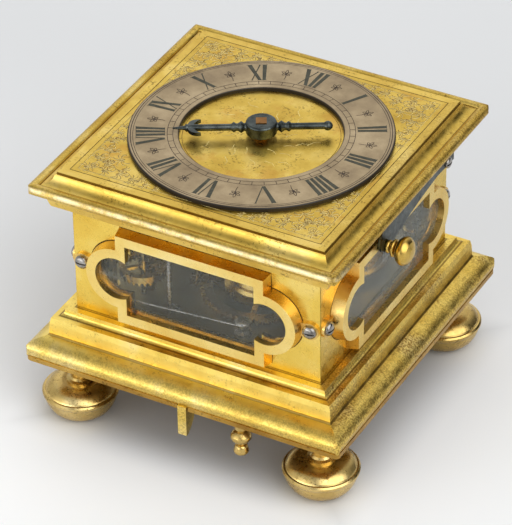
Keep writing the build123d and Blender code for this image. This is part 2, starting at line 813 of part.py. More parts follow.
# Places of the arbors, each set by the distances at which its wheels mesh

fusee_at = polar(mesh_distance(hour_teeth, hour_module, report_leaves), report_angle)
contrate_at = (contrate_x, contrate_y)
second_at = meet(fusee_at, mesh_distance(great_teeth, great_module),
                 contrate_at, mesh_distance(second_teeth, second_module))
going_barrel_at = (going_barrel_x, going_barrel_y)
strike_barrel_at = (strike_barrel_x, strike_barrel_y)


def step_from(start, distance, angle):
    dx, dy = polar(distance, angle)
    return start[0] + dx, start[1] + dy


pin_wheel_at = step_from(strike_barrel_at, mesh_distance(strike_great_teeth, great_module), pin_wheel_angle)
hoop_wheel_at = step_from(pin_wheel_at, mesh_distance(pin_wheel_teeth, strike_module), hoop_wheel_angle)
fly_at = step_from(hoop_wheel_at, mesh_distance(hoop_wheel_teeth, strike_module), fly_angle)
count_at = step_from(strike_barrel_at, mesh_distance(count_teeth, strike_module), count_angle)
verge_at = (contrate_x, contrate_y + verge_way)
hammer_at = (hammer_x, hammer_y)
lifting_at = (lifting_x, lifting_y)
half_leaf = 180 / pinion_leaves

great_z = train_z + 1.2
drum_z = great_z + great_wheel_thick + 1.5
drum_top = upper_plate_z - 13.0
second_z = upper_plate_z - 9.5
crown_z_axis = lower_plate_z + crown_height
contrate_pitch_z = crown_z_axis + contrate_module * pinion_leaves / 2
pin_wheel_z = upper_plate_z - 10.0
hoop_wheel_z = upper_plate_z - 5.0


# Plates and pillars

def plate_holes(places):
    for place, radius in places:
        with Locations(place):
            Circle(radius, mode=Mode.SUBTRACT)


small = pivot_radius + running
winding = 2.2 + running
pillars_at = [(pillar_offset * sx, pillar_offset * sy) for sx in (-1, 1) for sy in (-1, 1)]
pillar_holes = [(place, pillar_tenon) for place in pillars_at]
with BuildPart() as lower_plate:
    with BuildSketch(level(lower_plate_z)):
        Rectangle(2 * plate_half, 2 * plate_half)
        plate_holes(pillar_holes + [
            (fusee_at, winding), (strike_barrel_at, winding), (going_barrel_at, 2.2),
            (second_at, small), (contrate_at, small), (pin_wheel_at, small), (hoop_wheel_at, small),
            (fly_at, small), (hammer_at, 1.2 + running), (lifting_at, small), (verge_at, 1.2),
        ])
    extrude(amount=plate_thick)
save("lower_plate", lower_plate)

with BuildPart() as upper_plate:
    with BuildSketch(level(upper_plate_z)):
        Rectangle(2 * plate_half, 2 * plate_half)
        plate_holes(pillar_holes + [
            (fusee_at, 1.5 + running), (strike_barrel_at, 1.5 + running), (going_barrel_at, 1.5),
            (second_at, small), (contrate_at, small), (pin_wheel_at, small), (hoop_wheel_at, small),
            (fly_at, small), (hammer_at, small), (lifting_at, small), (verge_at, small), (count_at, small),
            ((0, 0), small),
        ])
        with Locations((plate_half, latch_knob_y)):
            Rectangle(2 * (plate_half - body_half + 7.0), 2 * (latch_pin_radius + 0.8), mode=Mode.SUBTRACT)
    extrude(amount=plate_thick)
save("upper_plate", upper_plate)

with BuildPart() as pillars:
    for x, y in pillars_at:
        low = train_z
        high = upper_plate_z
        add(turned(x, y, [
            (0, low - plate_thick - 2.6), (pillar_tenon, low - plate_thick - 2.6), (pillar_tenon, low),
            (pillar_radius, low), (pillar_radius, low + 2.4), (pillar_shaft, low + 2.4),
            (pillar_shaft, high - 2.4), (pillar_radius, high - 2.4), (pillar_radius, high), (pillar_tenon, high),
            (pillar_tenon, high + plate_thick), (0, high + plate_thick),
        ]))
save("pillars", pillars)

with BuildPart() as pillar_nuts:
    with BuildSketch(level(lower_plate_z - 1.6)):
        with Locations(*pillars_at):
            RegularPolygon(2.9, 6)
            Circle(pillar_tenon, mode=Mode.SUBTRACT)
    extrude(amount=1.6)
save("pillar_nuts", pillar_nuts)

with BuildPart() as movement_blocks:
    block = 4.2
    with BuildSketch(level(body_z)):
        for sx in (-1, 1):
            for sy in (-1, 1):
                with Locations((sx * (inner_half - block / 2), sy * (inner_half - block / 2))):
                    Rectangle(block, block)
    extrude(amount=lower_plate_z - body_z)
save("movement_blocks", movement_blocks)


# Going train

fusee_to_second = bearing(fusee_at, second_at)
fusee_to_hour = bearing(fusee_at, (0, 0))
fusee_pitch = (drum_top - drum_z) / (fusee_turns + 1)
fusee_valley = []
with BuildPart() as fusee:
    profile = [(2.2, drum_z - 1.5), (fusee_bottom_radius + 1.2, drum_z - 1.5), (fusee_bottom_radius + 1.2, drum_z)]
    for i in range(fusee_turns):
        z = drum_z + (i + 0.5) * fusee_pitch
        share = (i + 0.5) / fusee_turns
        radius = fusee_bottom_radius + (fusee_top_radius - fusee_bottom_radius) * share ** 0.8
        profile.append((radius, z))
        profile.append((radius - 0.9, z + fusee_pitch / 2))
        fusee_valley.append(radius - 0.9)
    profile += [(fusee_top_radius + 1.5, drum_top - 1), (fusee_top_radius + 1.5, drum_top), (2.2, drum_top)]
    add(turned(*fusee_at, profile))
    add(toothed_wheel(fusee_at, great_z, great_teeth, great_module, fusee_to_second, 2.2,
                      great_wheel_thick, rim=3.4, hub=6.0))
    with BuildSketch(level(great_z + great_wheel_thick)):
        with Locations(fusee_at):
            Circle(6)
            Circle(2.2, mode=Mode.SUBTRACT)
    extrude(amount=drum_z - 1.5 - great_z - great_wheel_thick + 0.01)
save("fusee", fusee)


def winding_arbor(place, high_end, top_radius=1.5):
    """Arbor that turns in both plates, with its winding square below the lower plate."""
    with BuildPart() as piece:
        add(turned(*place, [
            (0, lower_plate_z - 0.2), (2.2, lower_plate_z - 0.2), (2.2, upper_plate_z - 0.2),
            (top_radius, upper_plate_z - 0.2), (top_radius, high_end), (0, high_end),
        ]))
        with BuildSketch(level(lower_plate_z - 4.2)):
            with Locations(place):
                Rectangle(2.9, 2.9)
        extrude(amount=4.0)
    return piece


fusee_arbor = winding_arbor(fusee_at, motion_z + 2.0)
with fusee_arbor:
    add(pinion(fusee_at, motion_z + 2.0, 2.2, report_leaves, hour_module, fusee_to_hour + 180 / report_leaves))
save("fusee_arbor", fusee_arbor)

barrel_bore = 2.2 + running
with BuildPart() as going_barrel:
    add(turned(*going_barrel_at, [
        (barrel_bore, drum_z - 1), (going_barrel_radius + 1.2, drum_z - 1), (going_barrel_radius + 1.2, drum_z),
        (going_barrel_radius, drum_z), (going_barrel_radius, drum_top),
        (going_barrel_radius + 1.2, drum_top), (going_barrel_radius + 1.2, drum_top + 1), (barrel_bore, drum_top + 1),
        (barrel_bore, drum_top - 0.4), (going_barrel_radius - 1.4, drum_top - 0.4),
        (going_barrel_radius - 1.4, drum_z + 0.4), (barrel_bore, drum_z + 0.4),
    ]))
save("going_barrel", going_barrel)
going_barrel_arbor = winding_arbor(going_barrel_at, motion_z)
save("going_barrel_arbor", going_barrel_arbor)

second_to_fusee = bearing(second_at, fusee_at)
second_to_contrate = bearing(second_at, contrate_at)
with BuildPart() as second_wheel:
    add(toothed_wheel(second_at, second_z, second_teeth, second_module, second_to_contrate, arbor_radius))
    add(arbor(second_at, train_z + 0.2, upper_plate_z - 0.2))
    add(pinion(second_at, great_z - 0.6, great_wheel_thick + 1.2, pinion_leaves, great_module,
               second_to_fusee + half_leaf))
save("second_wheel", second_wheel)

contrate_radius = contrate_module * contrate_teeth / 2
contrate_tip_z = contrate_pitch_z - 0.9 * contrate_module
contrate_root_z = contrate_pitch_z + 1.15 * contrate_module
contrate_disc_z = contrate_root_z + 1.4
contrate_step = 360 / contrate_teeth
with BuildPart() as contrate_wheel:
    with BuildSketch(level(contrate_tip_z)):
        with Locations(contrate_at):
            Circle(contrate_radius + 0.55)
            Circle(contrate_radius - 0.75, mode=Mode.SUBTRACT)
    extrude(amount=contrate_disc_z - contrate_tip_z)
    with BuildSketch(level(contrate_disc_z)):
        with Locations(contrate_at):
            Circle(contrate_radius + 0.55)
            Circle(contrate_radius - 2.0, mode=Mode.SUBTRACT)
            with PolarLocations((contrate_radius - 1) / 2, 4, start_angle=45):
                Rectangle(contrate_radius - 1, 1.6)
            Circle(2.4)
            Circle(arbor_radius, mode=Mode.SUBTRACT)
    extrude(amount=1.2)
    with BuildSketch(level(contrate_disc_z + 1.2)):
        with Locations(contrate_at):
            Circle(1.9)
            Circle(arbor_radius, mode=Mode.SUBTRACT)
    extrude(amount=2.6)
    depth = contrate_root_z - contrate_tip_z
    gap = contrate_radius * radians(contrate_step)
    for i in range(contrate_teeth):
        angle = 90 + (i + 0.5) * contrate_step
        dx, dy = polar(contrate_radius - 2, angle)
        direction = (cos(radians(angle)), sin(radians(angle)), 0)
        cut = Plane(origin=(contrate_x + dx, contrate_y + dy, contrate_tip_z),
                    x_dir=(-direction[1], direction[0], 0), z_dir=direction)
        with BuildSketch(cut):
            with BuildLine():
                Polyline((-0.48 * gap, -0.1), (0.48 * gap, -0.1), (0.17 * gap, depth), (-0.17 * gap, depth),
                         close=True)
            make_face()
        extrude(amount=4, mode=Mode.SUBTRACT)
save("contrate_wheel", contrate_wheel)

contrate_to_second = bearing(contrate_at, second_at)
with BuildPart() as contrate_arbor:
    add(arbor(contrate_at, train_z + 0.2, upper_plate_z - 0.2))
    add(pinion(contrate_at, second_z - 0.8, wheel_thick + 1.6, pinion_leaves, second_module,
               contrate_to_second + half_leaf))
save("contrate_arbor", contrate_arbor)

crown_tip_y = verge_at[1] - verge_gap
crown_back_y = crown_tip_y - 5.2
crown_front_bearing = contrate_y + contrate_radius - 5.6
crown_back_bearing = crown_back_y - 2.4
crown_step = 360 / crown_teeth


def crown_plane(y):
    return Plane(origin=(contrate_x, y, crown_z_axis), x_dir=(-1, 0, 0), z_dir=(0, 1, 0))


with BuildPart() as crown_wheel:
    add(turned_across((contrate_x, 0, crown_z_axis), (0, 1, 0), [
        (crown_back_y, pivot_radius), (crown_back_y, crown_radius), (crown_tip_y, crown_radius),
        (crown_tip_y, crown_radius - 0.7), (crown_back_y + 1.0, crown_radius - 0.7), (crown_back_y + 1.0, 1.8),
        (crown_back_y + 1.8, 1.8), (crown_back_y + 1.8, pivot_radius),
    ]))
    tooth_gap = crown_radius * radians(crown_step)
    for i in range(crown_teeth):
        angle = 90 + (i + 0.5) * crown_step
        direction = (cos(radians(angle)), 0, sin(radians(angle)))
        across = (sin(radians(angle)), 0, -cos(radians(angle)))
        cut = Plane(origin=(contrate_x + direction[0] * 4, crown_tip_y, crown_z_axis + direction[2] * 4),
                    x_dir=across, z_dir=direction)
        with BuildSketch(cut):
            with BuildLine():
                Polyline((-0.46 * tooth_gap, 0.1), (0.46 * tooth_gap, 0.1), (0.46 * tooth_gap, 0),
                         (0.3 * tooth_gap, -2.2), (-0.1 * tooth_gap, -2.2), (-0.46 * tooth_gap, 0), close=True)
            make_face()
        extrude(amount=4, both=False, mode=Mode.SUBTRACT)
    add(turned_across((contrate_x, 0, crown_z_axis), (0, 1, 0), [
        (crown_front_bearing - 1.0, 0), (crown_front_bearing - 1.0, 0.5), (crown_front_bearing + 1.2, 0.5),
        (crown_front_bearing + 1.2, pivot_radius), (crown_back_bearing - 1.2, pivot_radius),
        (crown_back_bearing - 1.2, 0.5), (crown_back_bearing + 1.2, 0.5), (crown_back_bearing + 1.2, pivot_radius),
        (crown_back_y + 1.8, pivot_radius), (crown_back_y + 1.8, 0),
    ]))
    with BuildSketch(crown_plane(contrate_y + contrate_radius - 1.8)):
        Polygon(*pinion_rim(pinion_leaves, contrate_module, 90 + half_leaf), align=None)
    extrude(amount=3.6)
save("crown_wheel", crown_wheel)

with BuildPart() as crown_potences:
    for y in (crown_front_bearing, crown_back_bearing):
        with BuildSketch(crown_plane(y - 1.0)):
            with Locations((0, (train_z - crown_z_axis + 2) / 2)):
                Rectangle(5, crown_z_axis - train_z + 2)
            Circle(0.5 + running, mode=Mode.SUBTRACT)
        extrude(amount=2.0)
save("crown_potences", crown_potences)

with BuildPart() as verge:
    add(turned(*verge_at, [
        (0, lower_plate_z - 6.2), (0.5, lower_plate_z - 6.2), (0.5, lower_plate_z - 4.9), (0.9, lower_plate_z - 4.9),
        (0.9, upper_plate_z - 0.2), (0.6, upper_plate_z - 0.2), (0.6, motion_z), (0, motion_z),
    ]))
    for end, turn in ((1, -90 + pallet_angle), (-1, -90 - pallet_angle)):
        flag = Plane(origin=(*verge_at, crown_z_axis + end * (crown_radius - 0.35) - 1.1),
                     x_dir=(cos(radians(turn)), sin(radians(turn)), 0), z_dir=(0, 0, 1))
        with BuildSketch(flag):
            with Locations((pallet_reach / 2, 0)):
                Rectangle(pallet_reach, 0.5)
        extrude(amount=2.2)
save("verge", verge)

balance_z = lower_plate_z - 4.6
with BuildPart() as balance:
    with BuildSketch(level(balance_z)):
        with Locations(verge_at):
            Circle(balance_radius)
            Circle(balance_radius - 2.0, mode=Mode.SUBTRACT)
            Rectangle(2 * balance_radius - 2, 2.0)
            Circle(2.6)
            Circle(0.9, mode=Mode.SUBTRACT)
    extrude(amount=1.3)
save("balance", balance)

cock_foot = (verge_at[0], verge_at[1] + balance_radius + 4.0)
cock_z = balance_z - 2.4
with BuildPart() as balance_cock:
    with BuildSketch(level(cock_z)):
        with Locations(verge_at):
            Circle(6.0)
        with Locations((verge_at[0], (verge_at[1] + cock_foot[1]) / 2)):
            Rectangle(5.0, cock_foot[1] - verge_at[1])
        with Locations(cock_foot):
            Circle(3.4)
        with Locations(verge_at):
            Circle(0.5 + running, mode=Mode.SUBTRACT)
    extrude(amount=1.6)
    with BuildSketch(level(cock_z + 1.6)):
        with Locations(cock_foot):
            Circle(3.0)
    extrude(amount=lower_plate_z - cock_z - 1.6)
save("balance_cock", balance_cock)

hour_to_fusee = bearing((0, 0), fusee_at)
with BuildPart() as hour_wheel:
    add(toothed_wheel((0, 0), hour_wheel_z, hour_teeth, hour_module, hour_to_fusee, 2.4 + running,
                      thick=1.4, hub=5.0))
    with BuildSketch(level(hour_wheel_z + 1.4)):
        with PolarLocations(14.2, 12, start_angle=20):
            RegularPolygon(0.55, 6)
    extrude(amount=2.4)
save("hour_wheel", hour_wheel)


# Striking train

strike_to_pin = bearing(strike_barrel_at, pin_wheel_at)
with BuildPart() as strike_barrel:
    add(toothed_wheel(strike_barrel_at, great_z, strike_great_teeth, great_module, strike_to_pin, 2.2,
                      great_wheel_thick, rim=3.4, hub=6.0))
    add(turned(*strike_barrel_at, [
        (2.2, great_z + great_wheel_thick - 0.01), (strike_barrel_radius, great_z + great_wheel_thick - 0.01),
        (strike_barrel_radius, drum_top), (2.2, drum_top), (2.2, drum_top - 1.4),
        (strike_barrel_radius - 1.4, drum_top - 1.4), (strike_barrel_radius - 1.4, drum_z), (2.2, drum_z),
    ]))
save("strike_barrel", strike_barrel)

strike_to_count = bearing(strike_barrel_at, count_at)
strike_barrel_arbor = winding_arbor(strike_barrel_at, motion_z + 2.0)
with strike_barrel_arbor:
    add(pinion(strike_barrel_at, motion_z + 2.0, 2.2, pinion_leaves, strike_module,
               strike_to_count + half_leaf))
save("strike_barrel_arbor", strike_barrel_arbor)

pin_to_strike = bearing(pin_wheel_at, strike_barrel_at)
pin_to_hoop = bearing(pin_wheel_at, hoop_wheel_at)
with BuildPart() as pin_wheel:
    add(toothed_wheel(pin_wheel_at, pin_wheel_z, pin_wheel_teeth, strike_module, pin_to_hoop, arbor_radius))
    with BuildSketch(level(pin_wheel_z - 2.4)):
        with Locations(pin_wheel_at):
            with PolarLocations(11.8, 8, start_angle=10):
                RegularPolygon(0.6, 6)
    extrude(amount=2.4)
    add(arbor(pin_wheel_at, train_z + 0.2, upper_plate_z - 0.2))
    add(pinion(pin_wheel_at, great_z - 0.6, great_wheel_thick + 1.2, pinion_leaves, great_module,
               pin_to_strike + half_leaf))
save("pin_wheel", pin_wheel)

hoop_to_pin = bearing(hoop_wheel_at, pin_wheel_at)
hoop_to_fly = bearing(hoop_wheel_at, fly_at)
with BuildPart() as hoop_wheel:
    add(toothed_wheel(hoop_wheel_at, hoop_wheel_z, hoop_wheel_teeth, strike_module, hoop_to_fly, arbor_radius))
    add(arbor(hoop_wheel_at, train_z + 0.2, upper_plate_z - 0.2))
    add(pinion(hoop_wheel_at, pin_wheel_z - 0.8, wheel_thick + 1.6, pinion_leaves, strike_module,
               hoop_to_pin + half_leaf))
save("hoop_wheel", hoop_wheel)

fly_to_hoop = bearing(fly_at, hoop_wheel_at)
with BuildPart() as fly:
    add(arbor(fly_at, train_z + 0.2, upper_plate_z - 0.2))
    add(pinion(fly_at, hoop_wheel_z - 0.8, wheel_thick + 1.6, pinion_leaves, strike_module,
               fly_to_hoop + half_leaf))
    with BuildSketch(level(drum_z)):
        with Locations(fly_at):
            Rectangle(fly_width, 0.6)
            Circle(1.7)
    extrude(amount=fly_height)
save("fly", fly)

with BuildPart() as count_wheel:
    phase = bearing(count_at, strike_barrel_at)
    add(toothed_wheel(count_at, motion_z + 2.4, count_teeth, strike_module, phase, 1.4, thick=1.4))
    with BuildSketch(level(motion_z + 3.8)):
        with Locations(count_at):
            Circle(9.6)
            Circle(1.4, mode=Mode.SUBTRACT)
            blows = 0
            for hours in range(1, 13):
                blows += hours
                with PolarLocations(9.6, 1, start_angle=360 * blows / 78):
                    Rectangle(2.4, 1.0, mode=Mode.SUBTRACT)
    extrude(amount=1.2)
    add(turned(*count_at, [
        (0, upper_plate_z), (pivot_radius, upper_plate_z), (pivot_radius, motion_z + 0.2), (1.4, motion_z + 0.2),
        (1.4, motion_z + 6.4), (0, motion_z + 6.4),
    ]))
save("count_wheel", count_wheel)

hammer_tail = hypot(hammer_x - pin_wheel_at[0], hammer_y - pin_wheel_at[1]) - 12.9
head_at = step_from(hammer_at, hammer_arm, hammer_arm_angle)
with BuildPart() as hammer:
    add(arbor(hammer_at, train_z + 0.2, upper_plate_z - 0.2, radius=1.2))
    with BuildSketch(level(lower_plate_z - 0.6)):
        with Locations(hammer_at):
            Circle(1.2)
    extrude(amount=plate_thick + 1.0)
    with BuildSketch(level(lower_plate_z - 2.0)):
        with Locations(hammer_at):
            Circle(2.2)
        middle = step_from(hammer_at, hammer_arm / 2, hammer_arm_angle)
        with Locations(Location((*middle, 0), (0, 0, hammer_arm_angle))):
            Rectangle(hammer_arm, 1.8)
        with Locations(head_at):
            Circle(2.0)
    extrude(amount=1.4)
    with BuildSketch(level(lip_z - 4.0)):
        with Locations(head_at):
            Circle(2.6)
    extrude(amount=4.6)
    with BuildSketch(level(lip_z + 0.6)):
        with Locations(head_at):
            Circle(1.1)
    extrude(amount=lower_plate_z - 2.0 - lip_z - 0.6)
    tail_angle = bearing(hammer_at, pin_wheel_at)
    with BuildSketch(level(pin_wheel_z - 1.9)):
        middle = step_from(hammer_at, hammer_tail / 2, tail_angle)
        with Locations(Location((*middle, 0), (0, 0, tail_angle))):
            Rectangle(hammer_tail, 1.4)
    extrude(amount=1.4)
save("hammer", hammer)

lifting_angle = bearing(lifting_at, (0, 0))
lifting_arm = hypot(*lifting_at) - 15.3
with BuildPart() as lifting_arbor:
    add(arbor(lifting_at, train_z + 0.2, upper_plate_z - 0.2, radius=0.9, high_end=motion_z + 5.6))
    with BuildSketch(level(motion_z + 4.2)):
        middle = step_from(lifting_at, lifting_arm / 2, lifting_angle)
        with Locations(Location((*middle, 0), (0, 0, lifting_angle))):
            Rectangle(lifting_arm, 1.2)
        with Locations(lifting_at):
            Circle(2.0)
    extrude(amount=1.4)
    with BuildSketch(level(train_z + 3.2)):
        with Locations((lifting_x + 2.0, lifting_y)):
            Rectangle(4.0, 1.2)
    extrude(amount=1.4)
save("lifting_arbor", lifting_arbor)

spring_z = train_z + 3.4
spring_stud = (16.6, lifting_y + 1.0)
with BuildPart() as detent_spring:
    add(turned(*spring_stud, [
        (0, train_z), (3.4, train_z), (3.4, train_z + 1.6), (2.2, train_z + 2.4), (2.2, train_z + 4.6),
        ((3.3, train_z + 5.8), (2.2, train_z + 7.0)), (0, train_z + 7.0),
    ]))
    add(turned_across((*spring_stud, spring_z), (-0.9955, -0.095, 0), [
        (0, 0), (0, 0.45), (detent_reach, 0.45), (detent_reach, 0),
    ]))
save("detent_spring", detent_spring)

line_z = drum_z + fusee_pitch
fusee_run = fusee_valley[0] + 0.12 + line_radius
barrel_run = going_barrel_radius + 0.1 + line_radius
line_way = bearing(fusee_at, going_barrel_at)
drum_span = hypot(going_barrel_at[0] - fusee_at[0], going_barrel_at[1] - fusee_at[1])
tangent = line_way - degrees(acos((fusee_run - barrel_run) / drum_span))
line_start = step_from(fusee_at, fusee_run, tangent)
line_end = step_from(going_barrel_at, barrel_run, tangent)
line_vector = Vector(line_end[0] - line_start[0], line_end[1] - line_start[1], 0)
with BuildPart() as fusee_line:
    with BuildSketch(Plane(origin=(*line_start, line_z), x_dir=(0, 0, 1), z_dir=line_vector)):
        Circle(line_radius)
    extrude(amount=line_vector.length)
save("fusee_line", fusee_line)
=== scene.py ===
from math import cos, radians, sin

import bpy
from mathutils import Matrix, Vector


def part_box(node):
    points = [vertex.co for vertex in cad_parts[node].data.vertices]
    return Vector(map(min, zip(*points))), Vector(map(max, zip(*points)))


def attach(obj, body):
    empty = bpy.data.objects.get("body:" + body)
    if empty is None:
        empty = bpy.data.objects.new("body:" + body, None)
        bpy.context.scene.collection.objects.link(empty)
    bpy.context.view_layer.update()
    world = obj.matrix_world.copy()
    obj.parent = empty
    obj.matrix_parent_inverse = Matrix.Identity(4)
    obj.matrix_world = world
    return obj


# Striking table clock: materials, engraving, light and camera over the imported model.
# Metres, +Z up, XII at +Y, III and the latch knob at +X.

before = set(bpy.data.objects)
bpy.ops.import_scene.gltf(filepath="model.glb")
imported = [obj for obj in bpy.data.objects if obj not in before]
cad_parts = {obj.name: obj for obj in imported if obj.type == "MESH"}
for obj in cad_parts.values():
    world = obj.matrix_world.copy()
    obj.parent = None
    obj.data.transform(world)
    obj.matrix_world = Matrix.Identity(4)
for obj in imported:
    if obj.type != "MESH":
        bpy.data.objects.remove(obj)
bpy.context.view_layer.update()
MM = 0.001


# Places that the finish and the engraving go by, from the frame

CASE_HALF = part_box("dial_plate")[1].x         # outer face of the walls and edge of the dial plate
DIAL_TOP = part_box("dial_plate")[1].z
RING_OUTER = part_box("chapter_ring")[1].x
RING_INNER = RING_OUTER - 20.1 * MM
RING_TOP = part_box("chapter_ring")[1].z
FRAME_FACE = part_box("window_frame_right")[1].x
frame_low, frame_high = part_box("window_frame_front")
WINDOW_MIDDLE = (frame_low.z + frame_high.z) / 2
SIDES = ("front", "right", "back", "left")


# Camera

CAMERA_AZIMUTH = radians(28.907)      # from straight in front, towards the III side
CAMERA_HEIGHT = radians(35.453)       # above the horizon
CAMERA_ROLL = radians(-0.866)
CAMERA_DISTANCE = 1.4444
CAMERA_TARGET = Vector((-0.00279, -0.00087, 0.0545))
CAMERA_LENS = 248.7
CAMERA_SENSOR = 36                    # for the picture's long side
CAMERA_NEAREST = 0.05
CAMERA_FARTHEST = 20

back = Vector((sin(CAMERA_AZIMUTH) * cos(CAMERA_HEIGHT), -cos(CAMERA_AZIMUTH) * cos(CAMERA_HEIGHT),
               sin(CAMERA_HEIGHT)))
right = (-back).cross(Vector((0, 0, 1))).normalized()
up = right.cross(-back)
turned_right = right * cos(CAMERA_ROLL) + up * sin(CAMERA_ROLL)
turned_up = up * cos(CAMERA_ROLL) - right * sin(CAMERA_ROLL)

camera_data = bpy.data.cameras.new("camera")
camera_data.sensor_fit = "AUTO"
camera_data.sensor_width = CAMERA_SENSOR
camera_data.lens = CAMERA_LENS
camera_data.clip_start = CAMERA_NEAREST
camera_data.clip_end = CAMERA_FARTHEST
camera = bpy.data.objects.new("camera", camera_data)
bpy.context.scene.collection.objects.link(camera)
place = Matrix((turned_right, turned_up, back)).transposed().to_4x4()
place.translation = CAMERA_TARGET + back * CAMERA_DISTANCE
camera.matrix_world = place
bpy.context.scene.camera = camera


# Material helpers

def srgb(r, g, b):
    """Colour as seen, 0 to 255, as the linear value that a shader takes."""
    def linear(c):
        c = c / 255
        return c / 12.92 if c <= 0.04045 else ((c + 0.055) / 1.055) ** 2.4
    return linear(r), linear(g), linear(b), 1.0


def node(tree, kind, inputs=None, **settings):
    """New shader node; each input is a value or another node's socket."""
    made = tree.nodes.new(kind)
    for key, value in settings.items():
        setattr(made, key, value)
    for key, value in (inputs or {}).items():
        if isinstance(value, bpy.types.NodeSocket):
            tree.links.new(value, made.inputs[key])
        else:
            made.inputs[key].default_value = value
    return made


def noise(tree, where, scale, detail=3.0, roughness=0.55):
    """Cloudy value from 0 to 1; the scale is in clouds per metre."""
    made = node(tree, "ShaderNodeTexNoise",
                {"Vector": where, "Scale": scale, "Detail": detail, "Roughness": roughness})
    return made.outputs["Fac"]


def span(tree, value, low, high, to_low=0.0, to_high=1.0):
    """Value between low and high, carried smoothly to another range."""
    made = node(tree, "ShaderNodeMapRange",
                {"Value": value, "From Min": low, "From Max": high, "To Min": to_low, "To Max": to_high},
                interpolation_type="SMOOTHSTEP")
    return made.outputs["Result"]


def calc(tree, operation, a, b=0.0):
    return node(tree, "ShaderNodeMath", {0: a, 1: b}, operation=operation).outputs[0]


def product(tree, first, *others):
    """All the values multiplied."""
    for other in others:
        first = calc(tree, "MULTIPLY", first, other)
    return first


def scaled(tree, vector, share):
    return node(tree, "ShaderNodeVectorMath", {0: vector, "Scale": share}, operation="SCALE").outputs[0]


def blend_colour(tree, share, a, b):
    made = node(tree, "ShaderNodeMix", {0: share, 6: a, 7: b}, data_type="RGBA")
    return made.outputs[2]


def ramp(tree, value, stops):
    """Colour ramp from (position, colour) stops."""
    made = node(tree, "ShaderNodeValToRGB", {"Fac": value})
    elements = made.color_ramp.elements
    elements[0].position, elements[0].color = stops[0]
    elements[1].position, elements[1].color = stops[-1]
    for position, colour in stops[1:-1]:
        elements.new(position).color = colour
    return made.outputs["Color"]


def new_material(name):
    """Empty material and its node tree, with the surface shader and the object's own coordinates."""
    material = bpy.data.materials.new(name)
    material.use_nodes = True
    tree = material.node_tree
    surface = tree.nodes["Principled BSDF"]
    where = tree.nodes.new("ShaderNodeTexCoord").outputs["Object"]
    return material, tree, surface, where


def split(tree, where):
    """Sockets of a point's X, Y and Z."""
    return node(tree, "ShaderNodeSeparateXYZ", {0: where}).outputs


def outward(tree, where):
    """Distance from the clock's axis to the side of the square that a point is on."""
    parts = split(tree, where)
    return calc(tree, "MAXIMUM", calc(tree, "ABSOLUTE", parts[0]), calc(tree, "ABSOLUTE", parts[1]))


def past_mitre(tree, where):
    """How far a point is past the mitre of a corner: over 0 on the III side, under 0 on the others."""
    parts = split(tree, where)
    return calc(tree, "SUBTRACT", parts[0], calc(tree, "ABSOLUTE", parts[1]))


def bump(tree, surface, value, strength, distance):
    made = node(tree, "ShaderNodeBump", {"Height": value, "Strength": strength, "Distance": distance})
    tree.links.new(made.outputs["Normal"], surface.inputs["Normal"])


# Wear of the mouldings, with painted shade on their III side and in their steps, and a painted highlight
# on the front nose

MITRE_SOFT = 0.4 * MM                 # over which the III side's painted shade and stronger nose wear begin at the corner


def on_moulding(name, inward, deep, shallow):
    """Distance out and two levels on a moulding, from millimetres in from its side and below its top."""
    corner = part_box(name)[1]
    return corner.x - inward * MM, corner.z - deep * MM, corner.z - shallow * MM


def painted_side_shade(amount):
    """Patchy painted shade all over the III side, which faces the darker room: a function that gives its
    share at a point.
    """
    def share(tree, where):
        patchy = span(tree, noise(tree, where, 46, 4.0, 0.6), 0.38, 0.62, 0.35, 1.0)
        side = span(tree, past_mitre(tree, where), -MITRE_SOFT, MITRE_SOFT, 0.0, amount)
        return product(tree, side, patchy)
    return share


def nose_wear_and_side_shade(name, begins, full, amount, side_shade_amount=0.46):
    """Wear that grows between two distances in from a moulding's side, in mm, with painted shade added on
    the III side: there the nose is darker and the whole side is shaded.
    """
    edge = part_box(name)[1].x
    shade_of_side = painted_side_shade(side_shade_amount)

    def share(tree, where):
        near = span(tree, outward(tree, where), edge - begins * MM, edge - full * MM)
        facing = span(tree, past_mitre(tree, where), -6.0 * MM, MITRE_SOFT, 0.60, 1.0)
        return calc(tree, "MAXIMUM", product(tree, near, amount, facing), shade_of_side(tree, where))
    return share


def painted_highlight_line(out, low, high):
    """Painted highlight: a pale line along a nose, in front and fainter on the left, on the sides that
    face the light.
    """
    edge_soft = 0.6 * MM
    level_soft = 0.3 * MM
    facing_begins = -50 * MM          # a nose lies in front, or on the left, from here out
    facing_full = -64 * MM

    def share(tree, where):
        x, y, level = split(tree, where)
        left = span(tree, x, facing_begins, facing_full)
        front = span(tree, y, facing_begins, facing_full)
        facing = calc(tree, "MAXIMUM", front, product(tree, left, 0.5))
        above = span(tree, level, low - level_soft, low + level_soft)
        below = span(tree, level, high + level_soft, high - level_soft)
        near = span(tree, outward(tree, where), out - edge_soft, out)
        uneven = span(tree, noise(tree, where, 150, 4.0, 0.65), 0.32, 0.62, 0.05, 0.50)
        return product(tree, near, above, below, facing, uneven)
    return share


def step_shade(tree, where, out, low, high):
    """Painted shade along the step of a moulding that lies at a distance out, between two levels."""
    level = split(tree, where)[2]
    off = calc(tree, "ABSOLUTE", calc(tree, "SUBTRACT", outward(tree, where), out))
    above = span(tree, level, low - 0.2 * MM, low + 0.1 * MM)
    below = span(tree, level, high + 0.1 * MM, high - 0.1 * MM)
    return product(tree, span(tree, off, 0.5 * MM, 0.2 * MM), above, below, 0.8)


# Metals

STAIN_AMBER = srgb(196, 142, 56)
SPECK_BROWN = srgb(92, 66, 22)
# Colour of the painted highlight along a nose
HIGHLIGHT_PALE = srgb(253, 244, 208)
# Colour of the painted shade in a moulding's steps
STEP_SHADE_BROWN = srgb(112, 84, 34)
SILVER_EDGE = srgb(34, 29, 25)


